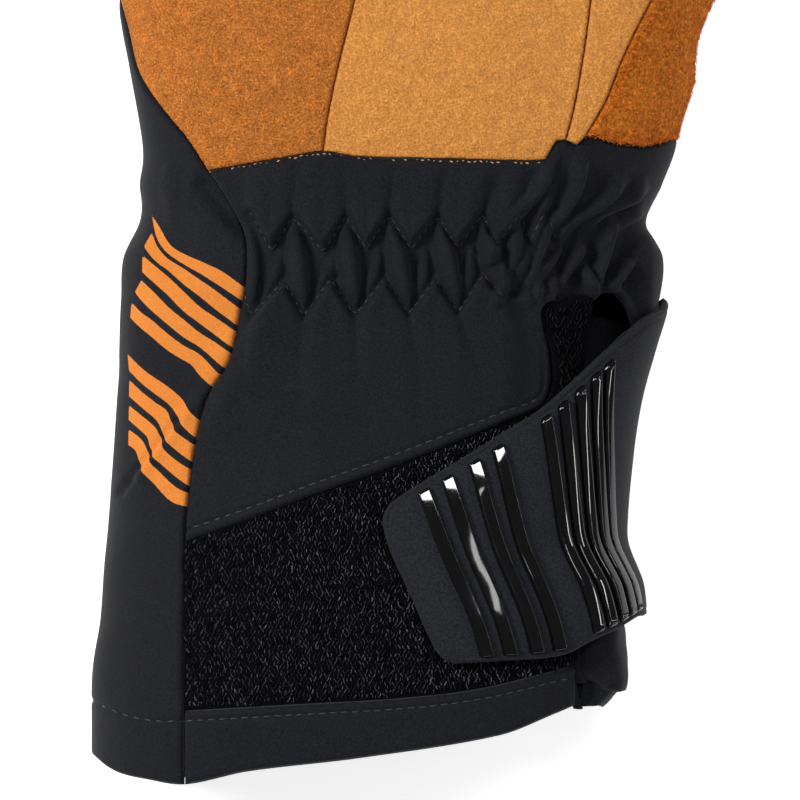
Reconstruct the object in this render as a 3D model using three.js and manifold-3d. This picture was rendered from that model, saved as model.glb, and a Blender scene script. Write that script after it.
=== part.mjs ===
// Winter cycling glove for the right hand, lying on its back with the palm up.
// Millimetres: x runs to the thumb side, y to the fingertips, z up from the flattened back.
import * as THREE from 'three';
import { mergeVertices } from 'three/addons/utils/BufferGeometryUtils.js';
import Module from 'manifold-3d';

const wasm = await Module();
wasm.setup();

// Cloth and leather
const WALL = 2.2; // padded shell
const GAP = 0.3; // between neighbouring pieces
const LOOP_RECESS = 0.9; // the loop field lies lower than the folded edges round it
const HEM_PROUD = 0.3; // the turned hem is thicker than one layer
const PARTING = 12; // height of the side seam between the front and the back

// Lengths along the glove
const HEM_END = -111;
const PALM_END = 104;
const FINGER_SEAM = 107.5;

// The tube of cuff, wrist and palm: outline in plan and height above the surface
const BODY = [
  { y: -111, left: -57.6, right: 42.0, top: 46.0 },
  { y: -95, left: -57.8, right: 41.6, top: 46.0 },
  { y: -80, left: -56.1, right: 42.8, top: 45.2 },
  { y: -65, left: -55.0, right: 41.1, top: 44.0 },
  { y: -49, left: -54.0, right: 42.1, top: 42.6 },
  { y: -38, left: -53.2, right: 43.8, top: 42.0 },
  { y: -28, left: -52.3, right: 46.8, top: 41.6 },
  { y: -19, left: -51.9, right: 49.6, top: 41.2 },
  { y: -11, left: -51.6, right: 49.8, top: 40.4 },
  { y: -4, left: -48.6, right: 48.0, top: 39.6 },
  { y: 3, left: -48.2, right: 50.2, top: 41.0 },
  { y: 12, left: -48.2, right: 52.6, top: 43.2 },
  { y: 26, left: -50.8, right: 53.0, top: 44.4 },
  { y: 38, left: -52.8, right: 52.2, top: 43.4 },
  { y: 60, left: -54.4, right: 50.8, top: 38.4 },
  { y: 80, left: -53.4, right: 49.6, top: 32.4 },
  { y: 98, left: -51.0, right: 48.8, top: 27.4 },
  { y: 104, left: -49.6, right: 48.0, top: 26.0 },
];
const BODY_SQUARE = 0.82; // 1 is an ellipse, less is boxier
const BODY_WAIST = 0.44; // height of the widest line, as a share of the top
const BODY_SAG = 4.5; // how far the round back is pressed flat by the surface

// The hem's edge in plan, and how far up the cuff its slant reaches
const HEM_EDGE = [
  { x: -58, y: -105.4 },
  { x: -54, y: -108.4 },
  { x: -47, y: -110.0 },
  { x: -40, y: -110.8 },
  { x: -28, y: -108.3 },
  { x: -7, y: -105.8 },
  { x: 20, y: -101.5 },
  { x: 31, y: -97.4 },
  { x: 36, y: -95.4 },
  { x: 44, y: -92.6 },
];
const HEM_SLANT_REACH = 55;

// The fingers: centre lines in plan, half sizes at the base and the tip
const FINGERS = [
  { name: 'index', baseX: 36.8, tipX: 45.4, tipY: 171, baseHalf: 12.3, tipHalf: 11.6 },
  { name: 'middle', baseX: 11.8, tipX: 14.6, tipY: 187, baseHalf: 12.3, tipHalf: 11.6 },
  { name: 'ring', baseX: -13.0, tipX: -15.8, tipY: 178, baseHalf: 12.2, tipHalf: 11.2 },
  { name: 'little', baseX: -37.4, tipX: -46.8, tipY: 153, baseHalf: 11.9, tipHalf: 10.6 },
];
const FINGER_ROOT = 88; // where the finger tubes start, inside the palm
const FINGER_HEIGHT = 12.0; // half height at the base
const FINGER_MIDDLE = 11.6; // height of the centre line at the base
const FINGER_CURL = 5.5; // rise of the tip towards the palm

// The thumb: a row for each section of its tube
const THUMB = [
  { x: 31, y: 13, z: 21, wide: 23.5, high: 20.5 },
  { x: 35.5, y: 32, z: 21, wide: 21.5, high: 20 },
  { x: 45.5, y: 46, z: 20.5, wide: 17.6, high: 17.5 },
  { x: 58, y: 60, z: 20, wide: 14.4, high: 14.8 },
  { x: 69.5, y: 74.5, z: 19.6, wide: 13.8, high: 13.6 },
  { x: 79.5, y: 90, z: 19.6, wide: 13.4, high: 12.8 },
  { x: 87.5, y: 103, z: 20, wide: 12.0, high: 11.6 },
];
const THUMB_TIP = 7.5; // round end beyond the last section

// Two zigzag rows of elastic stitching gather the wrist
const GATHER = {
  upperY: -6.6,
  lowerY: -18.6,
  pitch: 9.3, // along the wrist, one tooth to the next
  tooth: 3.2, // half the height of a tooth
  peakX: -20.2,
  puff: 1.1,
  dent: 1.0,
  dentWidth: 1.7,
  foldPitch: 6.2, // slanting folds at the thumb side
  foldSlant: 0.55,
  foldStartX: 18,
};

// Seams in plan, from the hem or the little-finger side onwards
const SIDE_SEAM = [
  { x: -40.1, y: -125 },
  { x: -40.1, y: -65 },
  { x: -39.4, y: -56 },
  { x: -37.8, y: -45 },
  { x: -35.2, y: -36.5 },
  { x: -31.6, y: -31 },
  { x: -29.4, y: -21 },
  { x: -28.3, y: -15 },
  { x: -28.5, y: -7 },
  { x: -31.4, y: -1 },
  { x: -35.7, y: 5.3 },
];
const OUTER_SEAM = [
  { x: -35.7, y: 5.3 },
  { x: -39.8, y: 11.6 },
  { x: -44.4, y: 17.2 },
  { x: -48.8, y: 24 },
  { x: -51.4, y: 34 },
  { x: -55, y: 44 },
  { x: -62, y: 50 },
];
const LEATHER_EDGE = [
  { x: -35.7, y: 5.3 },
  { x: -28, y: 6.6 },
  { x: -13.6, y: 8.9 },
  { x: -8, y: 8.0 },
  { x: 10, y: 7.5 },
  { x: 28.6, y: 7.2 },
  { x: 31, y: 11.2 },
  { x: 34.4, y: 10.4 },
  { x: 37, y: 12.2 },
  { x: 48, y: 10.4 },
  { x: 62, y: 12.8 },
];
const CENTRE_SEAM = [
  { x: -13.6, y: 8.9 },
  { x: -13, y: 14 },
  { x: -11, y: 24 },
  { x: -7.6, y: 38 },
  { x: -3, y: 62 },
  { x: 0, y: 84 },
  { x: 0, y: FINGER_SEAM },
];
const THUMB_SEAM = [
  { x: 32.7, y: 11 },
  { x: 33.9, y: 17 },
  { x: 36, y: 29 },
  { x: 38, y: 43 },
  { x: 41.6, y: 56 },
  { x: 46, y: 66 },
  { x: 50.3, y: 72.8 },
  { x: 53, y: 80 },
];
const SUEDE_SEAM = [
  { x: 36.2, y: 12 },
  { x: 40, y: 18.5 },
  { x: 43.2, y: 26.5 },
  { x: 47, y: 34.4 },
  { x: 53.5, y: 46 },
  { x: 64, y: 61.5 },
  { x: 77, y: 80 },
  { x: 87, y: 98 },
  { x: 94, y: 112 },
];
const WRIST_RIM = [
  { x: -40.1, y: -64.8 },
  { x: -16.9, y: -56.4 },
  { x: 1, y: -50 },
  { x: 20.3, y: -42.4 },
  { x: 28.4, y: -39.2 },
  { x: 30.8, y: -35.8 },
  { x: 30.6, y: -30 },
  { x: 28.6, y: -24.4 },
  { x: 27.6, y: -20.6 },
  { x: 34, y: -19.4 },
  { x: 42, y: -21 },
  { x: 47, y: -28 },
  { x: 60, y: -30 },
];
const HEM_SEAM = [
  { x: -40.1, y: -96.8 },
  { x: -18, y: -95.5 },
  { x: 1, y: -94.4 },
  { x: 15.6, y: -92.7 },
  { x: 34.6, y: -88.3 },
];
const GUSSET_SEAM = [
  { x: 34.6, y: -125 },
  { x: 34.6, y: -86 },
  { x: 32.6, y: -62 },
  { x: 34, y: -40 },
  { x: 37, y: -20 },
];

// The soft gusset at the thumb side: how deep its fold goes, and where its lobe ends
const GUSSET = [
  { y: -17, dip: 8, lobe: 46.0 },
  { y: -32, dip: 12, lobe: 42.0 },
  { y: -50, dip: 11, lobe: 39.6 },
  { y: -66, dip: 8, lobe: 38.9 },
  { y: -78, dip: 4.5, lobe: 40.6 },
  { y: -85, dip: 2.2, lobe: 44.0 },
  { y: -89, dip: 3.0, lobe: 44.4 },
  { y: -92, dip: 9.5, lobe: 43.0 },
  { y: -94.6, dip: 12, lobe: 41.4 },
];
const GUSSET_WALL = 1.6;

// The closure strap: matching places on its two long edges, from the side seam to the tip.
// down is the height of its place on the side, and x its place on the front
const STRAP = [
  { name: 'seam', top: { down: 13.2, y: -15.5 }, bottom: { down: 13.2, y: -73 } },
  { name: 'side', top: { down: 22, y: -17.5 }, bottom: { down: 17, y: -75 } },
  { name: 'shoulder', top: { x: 48.4, y: -21.2 }, bottom: { down: 22, y: -77 } },
  { name: 'bend', top: { x: 41, y: -28.7 }, bottom: { x: 46.2, y: -78.4 } },
  { name: 'inner bend', top: { x: 28.5, y: -39.3 }, bottom: { x: 38.6, y: -83.2 } },
  { name: 'fourth rib', top: { x: 19.2, y: -45 }, bottom: { x: 31.4, y: -86.4 } },
  { name: 'first rib', top: { x: 4.9, y: -53.6 }, bottom: { x: 17.6, y: -87.5 } },
  { name: 'tip', top: { x: -0.8, y: -57.2 }, bottom: { x: 10.8, y: -87.7 } },
];
const STRAP_THICK = 2.0;
const STRAP_CLEAR = 0.7; // between the strap and the cuff
const STRAP_ROUND_TIP = 2.4; // how far the tip's blunt end runs out past its corners
const STRAP_FLARE = 2.6; // the lower edge stands off the side
const STRAP_FLARE_START = -66;

// Moulded ribs: places along the strap, 0 at the side seam and 7 at the tip
const RIBS = [
  { at: 3.0 },
  { at: 3.24 },
  { at: 3.48 },
  { at: 3.73 },
  { at: 4.0 },
  { at: 5.02 },
  { at: 5.35 },
  { at: 5.68 },
  { at: 6.01 },
];
const RIB_WIDE = 2.3;
const RIB_HIGH = 0.9;
const RIB_CLEAR = 0.3;
const RIB_FROM = 0.05; // share of the strap's width left bare at each end
const RIB_TO = 0.965;

// Fineness of the facets
const BODY_COLUMNS = { front: 27, back: 12 };
const LINING_COLUMNS = { front: 16, back: 10 };
const WRIST_COLUMNS = { front: 42, back: 8 };
const FINGER_SIDES = 14;
const LINING_FINGER_SIDES = 10;

const COLOURS = {
  softshell: { color: 0x232428, roughness: 0.85, metalness: 0 },
  outerLeather: { color: 0xb86e31, roughness: 0.9, metalness: 0 },
  palmLeather: { color: 0xcc8643, roughness: 0.75, metalness: 0 },
  suede: { color: 0xa3581d, roughness: 1, metalness: 0 },
  loop: { color: 0x14141a, roughness: 1, metalness: 0 },
  silicone: { color: 0x0c0c0f, roughness: 0.15, metalness: 0 },
};

// A smooth value between the rows of a table, by its key column
function along(rows, key, column, at) {
  const last = rows.length - 1;
  if (at <= rows[0][key]) return rows[0][column];
  if (at >= rows[last][key]) return rows[last][column];
  let i = 0;
  while (rows[i + 1][key] < at) i += 1;
  const slope = (j) => {
    const before = rows[Math.max(j - 1, 0)];
    const after = rows[Math.min(j + 1, last)];
    return (after[column] - before[column]) / (after[key] - before[key]);
  };
  const span = rows[i + 1][key] - rows[i][key];
  const t = (at - rows[i][key]) / span;
  const rise = t * t * (3 - 2 * t);
  return rows[i][column] * (1 - rise) + rows[i + 1][column] * rise
    + span * t * (1 - t) * ((1 - t) * slope(i) - t * slope(i + 1));
}

function smoothstep(from, to, at) {
  const t = Math.min(Math.max((at - from) / (to - from), 0), 1);
  return t * t * (3 - 2 * t);
}

function signedPower(value, power) {
  return Math.sign(value) * Math.abs(value) ** power;
}

// A point of the body's skin. turn is 0 at the thumb side, a quarter on the palm, a half at
// the little-finger side and three quarters on the back; out moves it away from the inside
function bodyPoint(turn, y, out = 0) {
  const left = along(BODY, 'y', 'left', y) - out;
  const right = along(BODY, 'y', 'right', y) + out;
  const top = along(BODY, 'y', 'top', y);
  const waist = top * BODY_WAIST;
  const angle = turn * Math.PI * 2;
  const reach = Math.sin(angle) >= 0 ? top + out - waist : waist + BODY_SAG;
  const x = (left + right) / 2 + (right - left) / 2 * signedPower(Math.cos(angle), BODY_SQUARE);
  const z = waist + reach * signedPower(Math.sin(angle), BODY_SQUARE);
  const slant = along(HEM_EDGE, 'x', 'y', x) - HEM_END;
  const share = 1 - smoothstep(HEM_END, HEM_END + HEM_SLANT_REACH, y);
  return new THREE.Vector3(x, y + slant * share, Math.max(z, -Math.min(out, 0)));
}

// The turn of the palm side at a place in plan, and the turn of the thumb side at a height
function turnAtX(x, y, out = 0) {
  const left = along(BODY, 'y', 'left', y) - out;
  const right = along(BODY, 'y', 'right', y) + out;
  const share = Math.min(Math.max((2 * x - left - right) / (right - left), -1), 1);
  return Math.acos(signedPower(share, 1 / BODY_SQUARE)) / (Math.PI * 2);
}

function turnAtHeight(z, y) {
  const top = along(BODY, 'y', 'top', y);
  const waist = top * BODY_WAIST;
  const reach = z >= waist ? top - waist : waist + BODY_SAG;
  return Math.asin(signedPower((z - waist) / reach, 1 / BODY_SQUARE)) / (Math.PI * 2);
}

// Height of the gathers over the smooth wrist
function gatherHeight(x, y) {
  const tooth = (centre) => {
    const phase = (x - GATHER.peakX) / GATHER.pitch;
    const zigzag = 1 - 4 * Math.abs(phase - Math.round(phase));
    const slope = x > GATHER.foldStartX ? (x - GATHER.foldStartX) * 0.14 : 0;
    return centre + slope + GATHER.tooth * zigzag;
  };
  const dent = (centre) => Math.exp(-(((y - tooth(centre)) / GATHER.dentWidth) ** 2));
  const band = smoothstep(GATHER.lowerY - 9, GATHER.lowerY + 1, y)
    * (1 - smoothstep(GATHER.upperY, GATHER.upperY + 12, y));
  const puffs = Math.cos((x - GATHER.peakX) / GATHER.pitch * Math.PI * 2);
  const folds = Math.cos((x + y * GATHER.foldSlant) / GATHER.foldPitch * Math.PI * 2);
  const side = smoothstep(GATHER.foldStartX - 4, GATHER.foldStartX + 6, x);
  const waves = GATHER.puff * (puffs * (1 - side) + folds * side);
  const underStrap = smoothstep(34, 41, x) * (1 - smoothstep(-13, -7, y));
  return band * (1 - underStrap) * (waves - GATHER.dent * (dent(GATHER.upperY) + dent(GATHER.lowerY)));
}

// A solid from vertices and triangles
function toSolid(vertices, triangles) {
  const geometry = new THREE.BufferGeometry();
  const numbers = vertices.flatMap((v) => [v.x, v.y, v.z]);
  geometry.setAttribute('position', new THREE.Float32BufferAttribute(numbers, 3));
  geometry.setIndex(triangles);
  return geometryToSolid(geometry);
}

function geometryToSolid(geometry) {
  const bare = geometry.clone();
  bare.deleteAttribute('normal');
  bare.deleteAttribute('uv');
  const merged = mergeVertices(bare, 1e-4);
  const vertProperties = new Float32Array(merged.attributes.position.array);
  const triVerts = new Uint32Array(merged.index.array);
  return new wasm.Manifold(new wasm.Mesh({ numProp: 3, vertProperties, triVerts }));
}

function solidToMesh(solid, name, look) {
  const { vertProperties, triVerts } = solid.getMesh();
  const geometry = new THREE.BufferGeometry();
  geometry.setAttribute('position', new THREE.Float32BufferAttribute(vertProperties, 3));
  geometry.setIndex([...triVerts]);
  geometry.computeVertexNormals();
  const mesh = new THREE.Mesh(geometry, new THREE.MeshStandardMaterial(COLOURS[look]));
  mesh.name = name;
  return mesh;
}

// A closed tube through rings of points; each ring runs the same way round, as seen from
// the end that the tube grows towards
function tubeSolid(rings) {
  const sides = rings[0].length;
  const vertices = rings.flat();
  const triangles = [];
  const at = (ring, i) => ring * sides + (i % sides);
  for (let ring = 0; ring < rings.length - 1; ring += 1) {
    for (let i = 0; i < sides; i += 1) {
      triangles.push(at(ring, i), at(ring, i + 1), at(ring + 1, i + 1));
      triangles.push(at(ring, i), at(ring + 1, i + 1), at(ring + 1, i));
    }
  }
  const cap = (ring, flip) => {
    const centre = vertices.length;
    const middle = rings[ring].reduce((sum, p) => sum.add(p), new THREE.Vector3());
    vertices.push(middle.divideScalar(sides));
    for (let i = 0; i < sides; i += 1) {
      const pair = [at(ring, i), at(ring, i + 1)];
      triangles.push(centre, ...(flip ? pair.reverse() : pair));
    }
  };
  cap(0, true);
  cap(rings.length - 1, false);
  return toSolid(vertices, triangles);
}

// A thick sheet between two point functions over (0 to 1, 0 to 1)
function sheetSolid(outer, inner, columns, rows) {
  const vertices = [];
  for (const side of [outer, inner]) {
    for (let j = 0; j <= rows; j += 1) {
      for (let i = 0; i <= columns; i += 1) vertices.push(side(i / columns, j / rows));
    }
  }
  const layer = (columns + 1) * (rows + 1);
  const at = (side, i, j) => side * layer + j * (columns + 1) + i;
  const triangles = [];
  const quad = (a, b, c, d) => triangles.push(a, b, c, a, c, d);
  for (let j = 0; j < rows; j += 1) {
    for (let i = 0; i < columns; i += 1) {
      quad(at(0, i, j), at(0, i + 1, j), at(0, i + 1, j + 1), at(0, i, j + 1));
      quad(at(1, i, j + 1), at(1, i + 1, j + 1), at(1, i + 1, j), at(1, i, j));
    }
  }
  for (let i = 0; i < columns; i += 1) {
    quad(at(1, i, 0), at(1, i + 1, 0), at(0, i + 1, 0), at(0, i, 0));
    quad(at(0, i, rows), at(0, i + 1, rows), at(1, i + 1, rows), at(1, i, rows));
  }
  for (let j = 0; j < rows; j += 1) {
    quad(at(0, 0, j), at(0, 0, j + 1), at(1, 0, j + 1), at(1, 0, j));
    quad(at(1, columns, j), at(1, columns, j + 1), at(0, columns, j + 1), at(0, columns, j));
  }
  return toSolid(vertices, triangles);
}

// The inner side of a sheet: its outer side moved back along the surface's normal
function movedBack(outer, thickness) {
  const STEP = 1e-3;
  return (s, t) => {
    const s0 = Math.max(s - STEP, 0);
    const s1 = Math.min(s + STEP, 1);
    const t0 = Math.max(t - STEP, 0);
    const t1 = Math.min(t + STEP, 1);
    const alongS = outer(s1, t).sub(outer(s0, t));
    const alongT = outer(s, t1).sub(outer(s, t0));
    return outer(s, t).sub(alongS.cross(alongT).normalize().multiplyScalar(thickness));
  };
}

// A plan outline raised into a prism between two heights
function prism(points, low, high) {
  const shape = new THREE.Shape(points.map((p) => new THREE.Vector2(p.x, p.y)));
  const geometry = new THREE.ExtrudeGeometry(shape, { depth: high - low, bevelEnabled: false });
  return geometryToSolid(geometry.translate(0, 0, low));
}

// The narrow slot that a seam leaves between its two pieces
function blade(seam, low = PARTING, high = 80) {
  const sideOf = (sign) => seam.map((p, i) => {
    const before = seam[Math.max(i - 1, 0)];
    const after = seam[Math.min(i + 1, seam.length - 1)];
    const length = Math.hypot(after.x - before.x, after.y - before.y);
    const half = sign * GAP / 2;
    return { x: p.x - (after.y - before.y) / length * half, y: p.y + (after.x - before.x) / length * half };
  });
  return prism([...sideOf(1), ...sideOf(-1).reverse()], low, high);
}

// The side seam's surface follows the fingers' curl
const PARTING_LINE = [
  { y: -130, z: PARTING },
  { y: 100, z: PARTING },
  { y: 140, z: PARTING + 1.2 },
  { y: 200, z: PARTING + 6 },
];

function partingSolid(offset, height) {
  const profile = PARTING_LINE.map((p) => ({ x: p.y, y: p.z + offset }));
  const far = [...profile].reverse().map((p) => ({ x: p.x, y: height }));
  const shape = new THREE.Shape([...profile, ...far].map((p) => new THREE.Vector2(p.x, p.y)));
  const geometry = new THREE.ExtrudeGeometry(shape, { depth: 240, bevelEnabled: false });
  geometry.rotateX(Math.PI / 2).rotateZ(Math.PI / 2).translate(-120, 0, 0);
  return geometryToSolid(geometry);
}

// Rings of the body between two lengths, with turns shared out by a list
function bodyRings(stations, turns, out, raise) {
  return stations.map((y) => turns.map((turn) => {
    const point = bodyPoint(turn, y, out);
    return raise ? bodyPoint(turn, y, out + raise(point.x, point.y)) : point;
  }));
}

// Turns round the body, from the little-finger side over the palm, with more on the palm side
const FRONT_END = -0.04;

function turnsRound(columns) {
  const front = range(0.5, FRONT_END, columns.front);
  const back = range(FRONT_END, -0.5, columns.back).slice(1, -1);
  return [...front, ...back];
}

function range(from, to, steps) {
  return Array.from({ length: steps + 1 }, (_, i) => from + (to - from) * i / steps);
}

function bodySkin() {
  const stations = [...range(HEM_END, -20, 7), ...range(-11, 12, 3), ...range(22, PALM_END, 5)];
  return tubeSolid(bodyRings(stations, turnsRound(BODY_COLUMNS), 0));
}

function bodyInside() {
  const stations = [HEM_END - 20, ...range(HEM_END, -20, 4), ...range(-4, 98, 6), PALM_END - WALL];
  return tubeSolid(bodyRings(stations, turnsRound(LINING_COLUMNS), -WALL));
}

// The gathered wrist needs finer facets on the palm side than on the back
function wristSkin() {
  const stations = [...range(-68, -32, 3), ...range(-27, 10, 14), 17];
  return tubeSolid(bodyRings(stations, turnsRound(WRIST_COLUMNS), 0, gatherHeight));
}

function loopSkin() {
  const stations = range(-104, -17, 10);
  return tubeSolid(bodyRings(stations, turnsRound(BODY_COLUMNS), -LOOP_RECESS));
}

function hemSkin() {
  const stations = range(HEM_END, -80, 4);
  return tubeSolid(bodyRings(stations, turnsRound(BODY_COLUMNS), HEM_PROUD));
}

// A ring round a centre, across a direction in plan, pressed flat where it meets the surface
function roundRing(centre, direction, wide, high, sides, floor) {
  return Array.from({ length: sides }, (_, i) => {
    const angle = i / sides * Math.PI * 2;
    const across = wide * signedPower(Math.cos(angle), 0.92);
    const up = high * signedPower(Math.sin(angle), 0.92);
    return new THREE.Vector3(
      centre.x - direction.y * across,
      centre.y + direction.x * across,
      Math.max(centre.z + up, floor),
    );
  });
}

// How a fingertip closes: share of the way through the tip, and share of the half size left
const TIP_ROUNDS = [
  { ahead: 0, size: 1 },
  { ahead: 0.45, size: 0.9 },
  { ahead: 0.8, size: 0.62 },
  { ahead: 1, size: 0.16 },
];

function fingerSolid(finger, inset, sides) {
  const tip = finger.tipHalf * 1.05;
  const length = finger.tipY - tip - FINGER_ROOT;
  const straight = range(0, 1, 3).map((share) => ({ ahead: length * share, size: 1 }));
  const round = TIP_ROUNDS.slice(1).map((row) => ({
    ahead: length + (tip - inset) * row.ahead,
    size: row.size,
  }));
  const whole = finger.tipY - FINGER_ROOT;
  const direction = new THREE.Vector2(finger.tipX - finger.baseX, whole).normalize();
  return tubeSolid([...straight, ...round].map(({ ahead, size }) => {
    const share = ahead / whole;
    const half = finger.baseHalf + (finger.tipHalf - finger.baseHalf) * share;
    const high = FINGER_HEIGHT + (finger.tipHalf - FINGER_HEIGHT) * share;
    const centre = new THREE.Vector3(
      finger.baseX + (finger.tipX - finger.baseX) * share,
      FINGER_ROOT + ahead,
      FINGER_MIDDLE + FINGER_CURL * share * share,
    );
    return roundRing(centre, direction, (half - inset) * size, (high - inset) * size, sides, inset);
  }));
}

function thumbSolid(inset, sides) {
  const last = THUMB[THUMB.length - 1];
  const heading = (i) => {
    const before = THUMB[Math.max(i - 1, 0)];
    const after = THUMB[Math.min(i + 1, THUMB.length - 1)];
    return new THREE.Vector2(after.x - before.x, after.y - before.y).normalize();
  };
  const rings = THUMB.map((row, i) => (
    roundRing(row, heading(i), row.wide - inset, row.high - inset, sides, inset)
  ));
  const end = heading(THUMB.length - 1);
  for (const { ahead, size } of TIP_ROUNDS.slice(1)) {
    const centre = new THREE.Vector3(
      last.x + end.x * (THUMB_TIP - inset) * ahead,
      last.y + end.y * (THUMB_TIP - inset) * ahead,
      last.z,
    );
    const wide = (last.wide - inset) * size;
    const high = (last.high - inset) * size;
    rings.push(roundRing(centre, end, wide, high, sides, inset));
  }
  return tubeSolid(rings);
}

// The gusset runs from the front's edge down into its fold, out over its lobe and to the side seam
function gussetPoint(s, t) {
  const y = GUSSET[0].y + (GUSSET[GUSSET.length - 1].y - GUSSET[0].y) * t;
  const key = GUSSET.map((row) => ({ down: -row.y, dip: row.dip, lobe: row.lobe }));
  const dip = along(key, 'down', 'dip', -y);
  const lobe = along(key, 'down', 'lobe', -y);
  const edge = along(GUSSET_SEAM, 'y', 'x', y) + GAP / 2 + 0.2;
  const width = lobe - edge;
  const crest = bodyPoint(turnAtX(edge, y), y).z - WALL - 3 * GAP;
  const foot = bodyPoint(turnAtHeight(PARTING, y), y).x;
  const route = new THREE.CatmullRomCurve3([
    new THREE.Vector3(edge, y, crest),
    new THREE.Vector3(edge + 0.15 * width, y, crest - 0.55 * dip),
    new THREE.Vector3(edge + 0.35 * width, y, crest - dip),
    new THREE.Vector3(edge + 0.62 * width, y, crest - 0.85 * dip - 1),
    new THREE.Vector3(lobe - 0.8, y, (crest + PARTING) / 2 + 1),
    new THREE.Vector3(Math.min(lobe, foot - 1), y, PARTING + 5),
    new THREE.Vector3(foot - 0.8, y, PARTING),
  ], false, 'centripetal');
  return route.getPoint(1 - s);
}

function gussetSolid() {
  return sheetSolid(gussetPoint, movedBack(gussetPoint, GUSSET_WALL), 11, 9);
}

// How far the strap's inner face stands off the cuff
function strapStand(turn, y) {
  const low = smoothstep(STRAP_FLARE_START, -84, y);
  const side = smoothstep(0.2, 0.08, turn);
  return STRAP_CLEAR + STRAP_FLARE * low * side;
}

// The turn of one end of the strap's edge; on the front it is found from the outer face
function strapTurn(place) {
  if (place.x === undefined) return turnAtHeight(place.down, place.y);
  let turn = turnAtX(place.x, place.y, STRAP_THICK);
  for (let round = 0; round < 4; round += 1) {
    turn = turnAtX(place.x, place.y, strapStand(turn, place.y) + STRAP_THICK);
  }
  return turn;
}

const strapEdge = (edge) => STRAP.map((end, at) => ({ at, turn: strapTurn(end[edge]), y: end[edge].y }));
const STRAP_EDGES = [strapEdge('top'), strapEdge('bottom')];

// The strap over the cuff, by place along it (0 at the seam, 7 at the tip) and across it
function strapPoint(at, across, out) {
  const [turn, y] = ['turn', 'y'].map((column) => {
    const [top, bottom] = STRAP_EDGES.map((edge) => along(edge, 'at', column, at));
    return top * (1 - across) + bottom * across;
  });
  const point = bodyPoint(turn, y, strapStand(turn, y) + out);
  return new THREE.Vector3(point.x, y, point.z);
}

// The blunt end of the strap runs out a little at its middle
function strapSheetPoint(s, t, out) {
  const last = STRAP.length - 1;
  const round = 1 - (2 * t - 1) ** 4;
  const at = s * last - 0.35 * (1 - round) * s ** 12;
  const point = strapPoint(at, t, out);
  return point.add(new THREE.Vector3(-STRAP_ROUND_TIP * round * s ** 12, 0, 0));
}

function strapSolid() {
  const outer = (s, t) => strapSheetPoint(s, t, STRAP_THICK);
  const inner = (s, t) => strapSheetPoint(s, t, 0);
  return sheetSolid(outer, inner, 22, 7);
}

function ribSolid(at) {
  const profile = [
    { across: -0.5, up: 0 },
    { across: -0.34, up: 0.8 },
    { across: 0, up: 1 },
    { across: 0.34, up: 0.8 },
    { across: 0.5, up: 0 },
  ];
  const rings = range(0, 1, 7).map((share) => {
    const t = RIB_FROM + (RIB_TO - RIB_FROM) * share;
    const centre = strapPoint(at, t, STRAP_THICK + RIB_CLEAR);
    const lifted = strapPoint(at, t, STRAP_THICK + RIB_CLEAR + 1);
    const ahead = strapPoint(at + 0.02, t, STRAP_THICK + RIB_CLEAR).sub(centre).normalize();
    const up = lifted.sub(centre).normalize();
    return profile.map((p) => centre.clone()
      .addScaledVector(ahead, p.across * RIB_WIDE)
      .addScaledVector(up, p.up * RIB_HIGH));
  });
  return tubeSolid(rings);
}

// Outer skins, less the hollow for the hand
function shells() {
  const tubes = FINGERS.map((finger) => fingerSolid(finger, 0, FINGER_SIDES));
  const hollows = FINGERS.map((finger) => fingerSolid(finger, WALL, LINING_FINGER_SIDES));
  let hollow = bodyInside().add(thumbSolid(WALL, LINING_FINGER_SIDES + 2));
  let hand = bodySkin().add(thumbSolid(0, FINGER_SIDES + 2));
  for (const tube of tubes) hand = hand.add(tube);
  for (const space of hollows) hollow = hollow.add(space);
  return {
    hand: hand.subtract(hollow),
    wrist: wristSkin().subtract(hollow),
    loop: loopSkin().subtract(hollow),
    hem: hemSkin().subtract(hollow),
  };
}

const reversed = (line) => [...line].reverse();
const corner = (x, y) => ({ x, y });

// The back's pieces divide at the thumb's root and at the fingers' seam
const BACK_THUMB_LINE = [
  corner(56, 12), corner(50.4, 13.5), corner(47.4, 30), corner(46, 50), corner(50.3, 72.8),
  corner(53, 80), corner(60, 92),
];
// All the seams' slots, and the two sides of the side seam
function seamSlots() {
  const fingerLine = [{ x: -80, y: FINGER_SEAM }, { x: 60, y: FINGER_SEAM }];
  const slots = [SIDE_SEAM, OUTER_SEAM, LEATHER_EDGE, CENTRE_SEAM, THUMB_SEAM, SUEDE_SEAM, WRIST_RIM,
    HEM_SEAM, GUSSET_SEAM].map((seam) => blade(seam));
  slots.push(blade(fingerLine, -5));
  slots.push(blade(BACK_THUMB_LINE, -5, PARTING + 1));
  return slots.reduce((all, slot) => all.add(slot));
}

const FAR_LEFT = -90;
const FAR_RIGHT = 110;
const FAR_DOWN = -130;
const FAR_UP = 205;


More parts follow.
